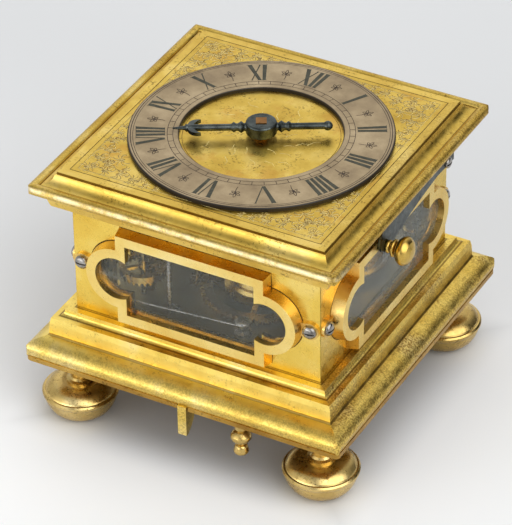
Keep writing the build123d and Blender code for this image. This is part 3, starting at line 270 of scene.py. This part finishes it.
def gilt(name, dark, middle, light, rough=0.27, speckle=0.0, grain=0.12, stains=0.0,
         wear_and_shade=None, wear_and_shade_colour=None, pale_highlight=None, shade_within=None, steps=()):
    """Gilt brass, cloudy and finely specked; the painted shade of inner faces is given as a distance out
    and the colour within it.
    """
    material, tree, surface, where = new_material(name)
    clouds = noise(tree, where, 45, 4.0, 0.6)
    colour = ramp(tree, clouds, [(0.30, dark), (0.52, middle), (0.72, light)])
    if stains:
        amber = span(tree, noise(tree, where, 62, 5.0, 0.68), 0.50, 0.66)
        colour = blend_colour(tree, product(tree, amber, stains), colour, STAIN_AMBER)
    specks = span(tree, noise(tree, where, 900, 3.0, 0.7), 0.54, 0.64)
    patches = span(tree, noise(tree, where, 130, 3.0, 0.6), 0.42, 0.66)
    colour = blend_colour(tree, product(tree, specks, patches, speckle), colour, SPECK_BROWN)
    # Painted shade: faces within a distance out, such as the insides of the walls and the flanks of the
    # frames, take a darker colour
    if shade_within:
        reach, shade_colour = shade_within
        within = span(tree, outward(tree, where), reach + 0.1 * MM, reach - 0.1 * MM)
        colour = blend_colour(tree, within, colour, shade_colour)
    gloss = span(tree, noise(tree, where, 210, 3.0), 0.3, 0.7, rough - 0.06, rough + 0.10)
    # Wear, and painted shade over the III side
    if wear_and_shade:
        share = wear_and_shade(tree, where)
        gloss = calc(tree, "ADD", gloss, product(tree, share, 0.10))
        mottled = span(tree, noise(tree, where, 1300, 4.0, 0.7), 0.38, 0.62, 0.15, 1.0)
        colour = blend_colour(tree, product(tree, share, mottled), colour, wear_and_shade_colour)
    # Painted highlight along a nose
    if pale_highlight:
        colour = blend_colour(tree, pale_highlight(tree, where), colour, HIGHLIGHT_PALE)
    # Painted shade along the steps of a moulding
    for step in steps:
        colour = blend_colour(tree, step_shade(tree, where, *step), colour, STEP_SHADE_BROWN)
    tree.links.new(colour, surface.inputs["Base Color"])
    surface.inputs["Metallic"].default_value = 1.0
    tree.links.new(gloss, surface.inputs["Roughness"])
    bump(tree, surface, noise(tree, where, 1400, 2.0), grain, 0.06 * MM)
    return material


cornice_gilt = gilt("cornice_gilt", srgb(202, 164, 66), srgb(226, 192, 92), srgb(242, 214, 130),
                    rough=0.33, speckle=0.7, grain=0.16,
                    wear_and_shade=nose_wear_and_side_shade("cornice", 5.7, 1.2, 0.85), wear_and_shade_colour=srgb(132, 98, 36),
                    pale_highlight=painted_highlight_line(*on_moulding("cornice", 1.3, 6.1, 4.3)),
                    steps=[on_moulding("cornice", 9.25, 1.0, 0.2),
                           on_moulding("cornice", 4.3, 6.3, 4.7)])
base_gilt = gilt("base_gilt", srgb(230, 194, 88), srgb(246, 216, 114), srgb(248, 228, 160),
                 rough=0.31, speckle=0.45, grain=0.16,
                 wear_and_shade=nose_wear_and_side_shade("base_moulding", 6.0, 1.5, 0.75, 0.95), wear_and_shade_colour=srgb(130, 90, 30),
                 steps=[on_moulding("base_moulding", 7.3, 11.2, 10.0),
                        on_moulding("base_moulding", 10.7, 3.2, 2.2),
                        on_moulding("base_moulding", 15.4, 0.3, -0.2)])
# Painted shade on the walls: darker over the III side and on their inner faces inside the case
wall_gilt = gilt("wall_gilt", srgb(222, 182, 74), srgb(235, 201, 94), srgb(243, 214, 122),
                 rough=0.23, speckle=0.25, wear_and_shade=painted_side_shade(0.34), wear_and_shade_colour=srgb(150, 116, 52),
                 shade_within=(CASE_HALF - 1.25 * MM, srgb(110, 98, 62)))
# The frames' flanks and inner sides take a painted shade colour
frame_gilt = gilt("frame_gilt", srgb(226, 188, 96), srgb(238, 208, 122), srgb(246, 222, 148),
                  speckle=0.12, shade_within=(FRAME_FACE - 0.15 * MM, srgb(220, 184, 108)))
edge_gilt = gilt("edge_gilt", srgb(150, 112, 50), srgb(178, 140, 66), srgb(206, 170, 92),
                 rough=0.34, speckle=0.9)
knob_gilt = gilt("knob_gilt", srgb(180, 146, 66), srgb(206, 174, 92), srgb(228, 200, 122),
                 rough=0.25, speckle=0.2)
dial_gilt = gilt("dial_gilt", srgb(192, 155, 57), srgb(216, 182, 81), srgb(234, 205, 115),
                 rough=0.32, speckle=0.75, grain=0.35, stains=0.5)
foot_bronze = gilt("foot_bronze", srgb(172, 142, 76), srgb(212, 182, 112), srgb(236, 212, 150),
                   speckle=0.8, grain=0.2)
movement_brass = gilt("movement_brass", srgb(172, 144, 72), srgb(204, 176, 102), srgb(230, 208, 142),
                      rough=0.22, speckle=0.1)
# Darker copy of the movement brass: painted shade on the plates inside the case
plate_brass_shaded = gilt("plate_brass_shaded", srgb(104, 92, 58), srgb(122, 110, 72), srgb(142, 130, 90),
                   rough=0.34, speckle=0.3)
bell_metal = gilt("bell_metal", srgb(150, 122, 74), srgb(176, 148, 96), srgb(196, 170, 118),
                  rough=0.30, speckle=0.3)
rusty_brass = gilt("rusty_brass", srgb(104, 68, 34), srgb(142, 98, 50), srgb(178, 138, 74),
                   rough=0.35, speckle=1.0)


def steel(name, dark, light, rough):
    """Iron or steel in two shades, with uneven gloss and a fine grain."""
    material, tree, surface, where = new_material(name)
    colour = ramp(tree, noise(tree, where, 160, 4.0, 0.65), [(0.34, dark), (0.66, light)])
    tree.links.new(colour, surface.inputs["Base Color"])
    surface.inputs["Metallic"].default_value = 1.0
    tree.links.new(span(tree, noise(tree, where, 420, 3.0), 0.3, 0.7, rough - 0.06, rough + 0.14),
                   surface.inputs["Roughness"])
    bump(tree, surface, noise(tree, where, 1100, 3.0), 0.3, 0.06 * MM)
    return material


blued_steel = steel("blued_steel", srgb(48, 52, 50), srgb(94, 100, 97), 0.28)
bright_steel = steel("bright_steel", srgb(128, 126, 124), srgb(176, 174, 170), 0.22)
screw_steel = steel("screw_steel", srgb(104, 100, 96), srgb(184, 180, 174), 0.20)


def silvered(name):
    """Tarnished silvering: warm grey with cloudy stains, dark at both edges and on the rim."""
    material, tree, surface, where = new_material(name)
    clouds = noise(tree, where, 70, 5.0, 0.62)
    colour = ramp(tree, clouds, [(0.30, srgb(128, 108, 79)), (0.5, srgb(155, 134, 100)),
                                 (0.72, srgb(183, 161, 125))])
    flat = node(tree, "ShaderNodeVectorMath", {0: where, 1: (1, 1, 0)}, operation="MULTIPLY").outputs[0]
    reach = node(tree, "ShaderNodeVectorMath", {0: flat}, operation="LENGTH").outputs["Value"]
    outer_edge = span(tree, reach, RING_OUTER - 0.8 * MM, RING_OUTER - 0.2 * MM)
    inner_edge = span(tree, reach, RING_INNER + 0.6 * MM, RING_INNER + 0.1 * MM)
    rim = span(tree, split(tree, where)[2], RING_TOP - 0.3 * MM, RING_TOP - 1.0 * MM)
    dark = calc(tree, "MAXIMUM", calc(tree, "MAXIMUM", outer_edge, inner_edge), rim)
    colour = blend_colour(tree, dark, colour, SILVER_EDGE)
    tree.links.new(colour, surface.inputs["Base Color"])
    surface.inputs["Metallic"].default_value = 0.25
    surface.inputs["Roughness"].default_value = 0.42
    surface.inputs["Specular IOR Level"].default_value = 0.35
    bump(tree, surface, noise(tree, where, 1600, 2.0), 0.2, 0.05 * MM)
    return material


ring_silver = silvered("ring_silver")


# Wax, dirt, gut and glass, with the colours of painted highlights, painted shade and the glass's painted
# reflection

def matt(name, colour, rough=0.6):
    """One colour in uneven strength, with little shine."""
    material, tree, surface, where = new_material(name)
    patchy = span(tree, noise(tree, where, 380, 3.0, 0.7), 0.35, 0.65, 0.65, 1.0)
    tree.links.new(scaled(tree, colour[:3], patchy), surface.inputs["Base Color"])
    surface.inputs["Roughness"].default_value = rough
    surface.inputs["Specular IOR Level"].default_value = 0.2
    return material


numeral_wax = matt("numeral_wax", srgb(76, 75, 62))
line_wax = matt("line_wax", srgb(72, 60, 50))
graved_line = matt("graved_line", srgb(140, 104, 36))
# Colour of the painted highlights beside engraved cuts
glint_gilt = matt("glint_gilt", srgb(250, 226, 142), 0.4)
# Dark dial seam, and painted shade along the window frames' joints
seam_dirt_and_shade = matt("seam_dirt_and_shade", srgb(62, 40, 12), 0.8)
gut = matt("gut", srgb(176, 152, 112))


def glazing(name):
    """Old window glass with a few streaks; its grey veil is partly a painted reflection of the room and
    partly clouding of the glass, thickest on the III side.
    """
    side_begins = CASE_HALF - 1.15 * MM
    side_full = CASE_HALF + 0.85 * MM
    material, tree, surface, where = new_material(name)
    # Colour of the veil: painted reflection of the room, with some clouding of the glass
    veil_reflection_and_clouding = ramp(tree, noise(tree, where, 40, 3.0, 0.6),
                [(0.3, srgb(122, 124, 116)), (0.7, srgb(152, 154, 143))])
    tree.links.new(veil_reflection_and_clouding, surface.inputs["Base Color"])
    surface.inputs["Roughness"].default_value = 0.05
    surface.inputs["IOR"].default_value = 1.5
    surface.inputs["Specular IOR Level"].default_value = 0.9
    slanting = node(tree, "ShaderNodeMapping", {"Vector": where, "Rotation": (0.9, 0.3, 0.0),
                                                "Scale": (30.0, 30.0, 260.0)}).outputs[0]
    streaks = span(tree, noise(tree, slanting, 1.0, 3.0, 0.6), 0.56, 0.68)
    patch = span(tree, noise(tree, where, 34, 2.0), 0.46, 0.60)
    # More cover on the III side, for more painted reflection there
    side = split(tree, where)[0]
    streaked = product(tree, streaks, patch, span(tree, side, side_begins, side_full, 0.20, 0.46))
    cover = calc(tree, "ADD", streaked, span(tree, side, side_begins, side_full, 0.13, 0.26))
    tree.links.new(cover, surface.inputs["Alpha"])
    return material


window_glass = glazing("window_glass")


# Finish of the CAD nodes

def dress(material, *names):
    """Gives CAD nodes their material."""
    for name in names:
        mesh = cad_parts[name].data
        mesh.materials.clear()
        mesh.materials.append(material)


dress(cornice_gilt, "cornice")
dress(base_gilt, "base_moulding", "catch_lug")
dress(edge_gilt, "bottom_plate", "hinge_lower_leaf", "hinge_upper_leaf")
dress(wall_gilt, *[f"case_wall_{side}" for side in SIDES])
dress(frame_gilt, *[f"window_frame_{side}" for side in SIDES])
dress(knob_gilt, "latch_knob")
dress(dial_gilt, "dial_plate")
dress(foot_bronze, "feet", "pull_knob")
dress(ring_silver, "chapter_ring")
dress(plate_brass_shaded, "lower_plate", "upper_plate")
dress(movement_brass, "pillars", "movement_blocks", "crown_potences", "balance_cock", "balance", "fusee",
      "going_barrel", "second_wheel", "contrate_wheel", "crown_wheel", "hour_wheel", "strike_barrel",
      "pin_wheel", "hoop_wheel", "count_wheel")
dress(bell_metal, "bell")
dress(blued_steel, "hour_hand", "latch_spring", "latch_post")
dress(screw_steel, "window_screws", "latch_screw", "foot_nuts", "pillar_nuts", "bell_nut", "bell_stud",
      "hinge_pin")
dress(bright_steel, "detent_spring", "fusee_arbor", "going_barrel_arbor", "contrate_arbor", "verge",
      "strike_barrel_arbor", "fly", "hammer", "lifting_arbor")
dress(rusty_brass, "hour_arbor")
dress(window_glass, "window_glasses")
dress(gut, "fusee_line")


# Engraving: flat strips just above the surface that they are cut in, with places in millimetres

LIFT = 0.03                           # of the strips above the metal
LAYER = 0.004                         # between strips that cross
LAYERS = 8
DIAL = DIAL_TOP / MM + LIFT
RING = RING_TOP / MM + LIFT
WALL = CASE_HALF / MM + LIFT


def mesh_object(name, corners, faces, material):
    """New object in the scene, from corner points in metres."""
    mesh = bpy.data.meshes.new(name)
    mesh.from_pydata(corners, [], faces)
    mesh.materials.append(material)
    made = bpy.data.objects.new(name, mesh)
    bpy.context.scene.collection.objects.link(made)
    return made


class Cuts:
    """Strips on a plane, gathered into one piece. Places are in millimetres on that plane."""

    def __init__(self, origin=(0, 0, 0), across=(1, 0, 0), along=(0, 1, 0)):
        self.origin = Vector(origin)
        self.across = Vector(across)
        self.along = Vector(along)
        self.above = self.across.cross(self.along)
        self.layer = 0
        self.corners = []
        self.faces = []

    def quad(self, *places):
        first = len(self.corners)
        for x, y in places:
            self.corners.append((self.origin + self.above * LAYER * self.layer + self.across * x
                                 + self.along * y) * MM)
        self.faces.append(tuple(range(first, first + len(places))))

    def line(self, points, width, end_width=None, closed=False):
        """Strip along a run of points, narrowing to its end width; strips that cross differ in level."""
        self.layer = (self.layer + 1) % LAYERS
        if end_width is None:
            end_width = width
        points = [Vector(p) for p in points]
        if closed:
            points.append(points[0])
        last = len(points) - 1
        sides = []
        for i, point in enumerate(points):
            before = points[i - 1] if i else (points[-2] if closed else points[0])
            after = points[i + 1] if i < last else (points[1] if closed else points[-1])
            way = (after - before).normalized()
            half = (width + (end_width - width) * i / last) / 2
            aside = Vector((-way.y, way.x)) * half
            sides.append((point + aside, point - aside))
        for (a, b), (c, d) in zip(sides, sides[1:]):
            self.quad(b, d, c, a)

    def finish(self, name, material):
        piece = mesh_object(name, self.corners, self.faces, material)
        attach(piece, "case")


def polar(reach, degrees, centre=(0, 0)):
    """Point at a distance from a centre, anticlockwise from +X."""
    return centre[0] + reach * cos(radians(degrees)), centre[1] + reach * sin(radians(degrees))


def ring_points(radius, count=120, start=0.0, sweep=360.0, centre=(0, 0)):
    return [polar(radius, start + sweep * i / count, centre) for i in range(count + 1)]


def square_points(half, aside=(0, 0)):
    return [(half * x + aside[0], half * y + aside[1]) for x, y in ((-1, -1), (1, -1), (1, 1), (-1, 1))]


def spoke(degrees):
    """Outward and sideways directions on the dial, clockwise from XII."""
    angle = radians(degrees)
    return Vector((sin(angle), cos(angle))), Vector((cos(angle), -sin(angle)))


# Chapter ring: Roman numerals with their feet to the centre

NUMERAL_TOP = 48.7
NUMERAL_FOOT = 37.5
NUMERAL_MIDDLE = 43.0                 # radius at which widths hold; strokes run along the radii
THICK = 1.5
THIN = 0.45
SERIF = 0.3                           # beyond each side of a stroke
SERIF_WIDTH = 0.2
HOURS = ("I", "II", "III", "IIII", "V", "VI", "VII", "VIII", "IX", "X", "XI", "XII")
ADVANCE = {"I": 2.25, "V": 5.0, "X": 5.0}
LONE_V = 1.5                          # how much wider V is by itself


def letter_strokes(letter, left, wide):
    """Strokes of a numeral letter as (start, end, width), in a frame of (mm across, 0 foot to 1 top)."""
    end = left + wide
    if letter == "I":
        middle = left + wide / 2
        return [((middle, 0), (middle, 1), THICK)]
    if letter == "V":
        foot = left + wide * 0.55
        return [((left + 0.75, 1), (foot, 0), THICK), ((end - 0.5, 1), (foot + 0.35, 0), THIN)]
    return [((left + 0.7, 1), (end - 0.8, 0), THICK), ((end - 0.6, 1), (left + 0.6, 0), THIN)]


numerals = Cuts(origin=(0, 0, RING))
for hour, text in enumerate(HOURS, start=1):
    outer, across = spoke(30 * hour)
    wide = {letter: ADVANCE[letter] * (LONE_V if text == "V" else 1.0) for letter in ADVANCE}
    left = -sum(wide[letter] for letter in text) / 2
    for letter in text:
        for (x0, t0), (x1, t1), width in letter_strokes(letter, left, wide[letter]):
            ends = []
            widths = []
            for x, t in ((x0, t0), (x1, t1)):
                reach = NUMERAL_FOOT + (NUMERAL_TOP - NUMERAL_FOOT) * t
                flare = reach / NUMERAL_MIDDLE
                ends.append(outer * reach + across * x * flare)
                widths.append(width * flare)
                serif = across * (width / 2 + SERIF) * flare
                if letter != "V" or t:
                    numerals.line([ends[-1] - serif, ends[-1] + serif], SERIF_WIDTH)
            numerals.line(ends, widths[0], widths[1])
        left += wide[letter]
numerals.finish("hour_numerals", numeral_wax)


# Chapter ring: its rings, the quarter-hour track and the half-hour flowers

TRACK_OUTER = 36.6
TRACK_INNER = 34.4
RINGS = ((50.9, 0.34), (50.0, 0.2), (TRACK_OUTER, 0.22), (TRACK_INNER, 0.2))      # radius, width
QUARTERS = 48
QUARTER_WIDTH = 0.24
FLOWER_HEART = 42.9
STALK_FOOT = 38.6
STALK_BEND = 40.8
FLOWER_LEAVES = ((0, 3.0), (-58, 2.5), (58, 2.5), (-122, 1.9), (122, 1.9))        # turn, length
LEAF_BOWS = ((0.35, 0.50), (0.72, 0.42))          # share of a leaf's length, half its width there in mm


def flower_leaf(cuts, heart, way, size):
    """Leaf of two bowed strokes that meet at its tip."""
    side = Vector((-way.y, way.x))
    for sign in (-1, 1):
        bows = [heart + way * size * share + side * sign * bow for share, bow in LEAF_BOWS]
        cuts.line([heart + way * 0.2, *bows, heart + way * size], 0.36, 0.2)


tracks = Cuts(origin=(0, 0, RING))
for radius, width in RINGS:
    tracks.line(ring_points(radius), width)
for quarter in range(QUARTERS):
    outer, across = spoke(360 / QUARTERS * quarter)
    tracks.line([outer * TRACK_INNER, outer * TRACK_OUTER], QUARTER_WIDTH)
for hour in range(12):
    outer, across = spoke(30 * hour + 15)
    heart = outer * FLOWER_HEART
    tracks.line([outer * STALK_FOOT, outer * STALK_BEND + across * 0.25, heart], 0.22, 0.34)
    for turn, size in FLOWER_LEAVES:
        flower_leaf(tracks, heart, outer * cos(radians(turn)) + across * sin(radians(turn)), size)
tracks.finish("ring_lines", line_wax)


# Dial plate: a border line, leaves and scrolls in the corners with painted highlights beside their cuts,
# a ring, and faint strokes in the centre drawn as painted highlights only

BORDER = 51.9                         # fine line inside the seam
CENTRE_RING = 30.9
CENTRE_STROKES = 28
GLINT = Vector((0.15, -0.22))         # offset of the painted highlight beside a cut
GLINT_WIDTH = 1.3                     # share of the cut's width

graving = Cuts(origin=(0, 0, DIAL))
glints = Cuts(origin=(0, 0, DIAL - 0.01))


def engrave(points, width, end_width):
    """Cut line with a painted highlight beside it on one side, where its edge would catch the light."""
    graving.line(points, width, end_width)
    bright = [Vector(point) + GLINT for point in points]
    glints.line(bright, width * GLINT_WIDTH, end_width * GLINT_WIDTH)


def scroll_line(centre, radius, start, turns, sense):
    """Points of a scroll that winds in to its eye."""
    eye = 0.82                        # how far in it winds, as a share of its radius
    points = []
    count = int(16 * turns)
    for i in range(count + 1):
        t = i / count
        points.append(polar(radius * (1 - eye * t), start + sense * 360 * turns * t, centre))
    return points


def palmette(root, way, size, strokes=7, spread=150):
    """Fan of curling strokes, longest in the middle, like an acanthus leaf."""
    bends = 5
    shorter = 0.42                    # by which the outermost strokes fall short, as a share
    hook = 0.16 * size                # length of the curl at a stroke's tip
    for i in range(strokes):
        k = 2 * i / (strokes - 1) - 1
        length = size * (1 - shorter * abs(k))
        points = []
        for j in range(bends + 1):
            t = j / bends
            opening = spread / 2 * (0.55 + 0.75 * t * t)
            points.append(polar(length * t, way + k * opening, root))
        engrave(points, 0.12, 0.30)
        curl = way + k * spread * 0.6 + (90 if k > 0 else -90)
        engrave([points[-1], polar(hook, curl, points[-1])], 0.24, 0.10)


# Ornament of one corner
LEAVES = (                            # across, along, way, size
    (38.8, 38.8, 45, 5.4), (50.4, 50.4, 225, 4.2), (45.2, 44.4, 262, 4.6), (49.8, 43.0, 240, 4.0),
    (48.8, 37.0, 268, 4.6), (44.6, 36.4, 300, 3.6), (49.8, 31.0, 262, 4.2), (47.4, 27.6, 275, 3.2),
    (50.4, 24.4, 266, 3.4), (50.6, 19.4, 268, 2.4),
)
SCROLLS = (                           # across, along, radius, start, sense
    (47.4, 47.4, 1.9, 225, 1), (46.6, 39.8, 2.1, 90, -1), (42.6, 42.2, 1.7, 0, 1),
    (47.9, 33.0, 1.7, 90, 1), (49.2, 27.4, 1.2, 90, -1),
)
SCROLL_TURNS = 1.3

graving.line(square_points(BORDER), 0.2, closed=True)
# Painted highlight beside the border line
glints.line(square_points(BORDER, (0.2, -0.2)), 0.22, closed=True)
for turn in range(4):
    ahead = Vector(polar(1, 90 * turn))
    aside = Vector((-ahead.y, ahead.x))
    for far, near, way, size in LEAVES:
        palmette(ahead * far + aside * near, way + 90 * turn, size)
        palmette(ahead * near + aside * far, 90 - way + 90 * turn, size)
    for far, near, radius, start, sense in SCROLLS:
        for middle, begins, winds in ((ahead * far + aside * near, start, sense),
                                      (ahead * near + aside * far, 90 - start, -sense)):
            engrave(scroll_line(middle, radius, begins + 90 * turn, SCROLL_TURNS, winds), 0.26, 0.14)
# The strokes of the centre are painted highlights only, with no dark cut; the sines scatter them, in turn
# and in distance
for i in range(CENTRE_STROKES):
    angle = 360 * i / CENTRE_STROKES + 7 * sin(5.0 * i)
    reach = 15 + 5.5 * sin(2.3 * i)
    stroke = [polar(reach, angle), polar(reach + 2, angle + 8), polar(reach + 4.5, angle + 9)]
    glints.line(stroke, 0.28, 0.1)
graving.line(ring_points(CENTRE_RING, 100), 0.22)
graving.finish("dial_graving", graved_line)
glints.finish("dial_glints", glint_gilt)


# Dark seam round the dial plate, and painted shade along the joint where each window frame stands on its
# wall

SEAM_WIDTH = 0.34
SEAM = CASE_HALF / MM + 0.05
JOINT_END = 33.2                      # of the frame's straight part
JOINT_HALF_HEIGHT = 21.2
LOBE_MIDDLE = 32.4
LOBE_RADIUS = 14.45
LOBE_TOP = 14.4
LOBE_START = 86.8                     # degrees above the lobe's middle line, where the straight part ends

seam = Cuts(origin=(0, 0, DIAL))
seam.line(square_points(SEAM), SEAM_WIDTH, closed=True)
seam.finish("dial_seam", seam_dirt_and_shade)

outline = [(JOINT_END, LOBE_TOP)]
outline += ring_points(LOBE_RADIUS, 24, LOBE_START, -2 * LOBE_START, (LOBE_MIDDLE, 0))
outline += [(JOINT_END, -JOINT_HALF_HEIGHT), (-JOINT_END, -JOINT_HALF_HEIGHT)]
outline += ring_points(LOBE_RADIUS, 24, 180 + LOBE_START, -2 * LOBE_START, (-LOBE_MIDDLE, 0))
outline += [(-JOINT_END, JOINT_HALF_HEIGHT), (JOINT_END, JOINT_HALF_HEIGHT)]
# Painted shade on the wall round the foot of each window frame
for turn, side in enumerate(SIDES):
    angle = radians(90 * turn)
    normal = Vector((sin(angle), -cos(angle), 0))
    joint = Cuts(origin=normal * WALL + Vector((0, 0, WINDOW_MIDDLE / MM)),
                 across=(cos(angle), sin(angle), 0), along=(0, 0, 1))
    joint.line(outline, SEAM_WIDTH, closed=True)
    joint.finish(f"frame_joint_{side}", seam_dirt_and_shade)


# Floor

FLOOR_HALF = 6.0
FLOOR_NEAR = (0.90, 0.90, 0.90, 1)
FLOOR_FAR = (0.68, 0.68, 0.68, 1)


def paper(name):
    """White paper, with a painted light falloff that darkens it towards the back and a painted shadow
    close round the clock.
    """
    material, tree, surface, where = new_material(name)
    # Painted light falloff: the paper is darker towards the back
    depth = span(tree, split(tree, where)[1], -120 * MM, 200 * MM)
    pale = ramp(tree, depth, [(0.0, FLOOR_NEAR), (1.0, FLOOR_FAR)])
    # Painted shadow under the clock and close round it
    painted_shadow = span(tree, outward(tree, where), 52 * MM, 80 * MM, 0.50, 1.0)
    tree.links.new(scaled(tree, pale, painted_shadow), surface.inputs["Base Color"])
    surface.inputs["Roughness"].default_value = 0.9
    surface.inputs["Specular IOR Level"].default_value = 0.0
    return material


floor_corners = [(x, y, 0) for x, y in square_points(FLOOR_HALF)]
floor = mesh_object("floor", floor_corners, [(0, 1, 2, 3)], paper("paper"))


# Studio light

SKY_BASE = 0.40
SKY_COLOUR = (0.97, 0.985, 1.0, 1)
# Light from each side of the studio: direction, cosine where it begins, cosine where it is full, amount
STRIP = ((-0.40, -0.91, 0.0), 0.82, 0.97, 2.6)     # long window low in front
PATCHES = (
    ((-0.38, -0.90, 0.16), 0.72, 0.96, 1.25),      # white wall in front
    ((-0.39, -0.56, 0.69), 0.90, 0.99, 0.24),      # its upper part
    ((0.72, -0.25, 0.65), 0.72, 0.95, 2.55),       # main light, high on the right
    ((-0.20, 0.76, 0.60), 0.66, 0.97, 0.70),       # pale wall behind
    ((-1.0, 0.10, 0.10), 0.55, 0.95, 0.30),        # pale wall on the left
    ((0.74, 0.66, 0.06), 0.58, 0.92, -0.36),       # dark room behind on the right
)
STRIP_MIDDLE = 0.10                   # its height, as the sine of its angle above the horizon
STRIP_ENDS = 0.11                     # distance from its middle where it ends
STRIP_FULL = 0.05                     # distance from its middle where it is full

world = bpy.data.worlds.new("studio")
bpy.context.scene.world = world
world.use_nodes = True
sky = world.node_tree
toward = sky.nodes.new("ShaderNodeTexCoord").outputs["Generated"]


def light_from(aim, begins, full, amount):
    """Light that grows towards one direction."""
    near = node(sky, "ShaderNodeVectorMath", {0: toward, 1: Vector(aim).normalized()},
                operation="DOT_PRODUCT").outputs["Value"]
    return span(sky, near, begins, full, 0.0, amount)


off = calc(sky, "ABSOLUTE", calc(sky, "SUBTRACT", split(sky, toward)[2], STRIP_MIDDLE))
strip = product(sky, light_from(*STRIP), span(sky, off, STRIP_ENDS, STRIP_FULL))
level = calc(sky, "ADD", strip, SKY_BASE)
for patch in PATCHES:
    level = calc(sky, "ADD", light_from(*patch), level)
sky.nodes["Background"].inputs["Color"].default_value = SKY_COLOUR
sky.links.new(level, sky.nodes["Background"].inputs["Strength"])

bpy.context.scene.view_settings.view_transform = "Standard"
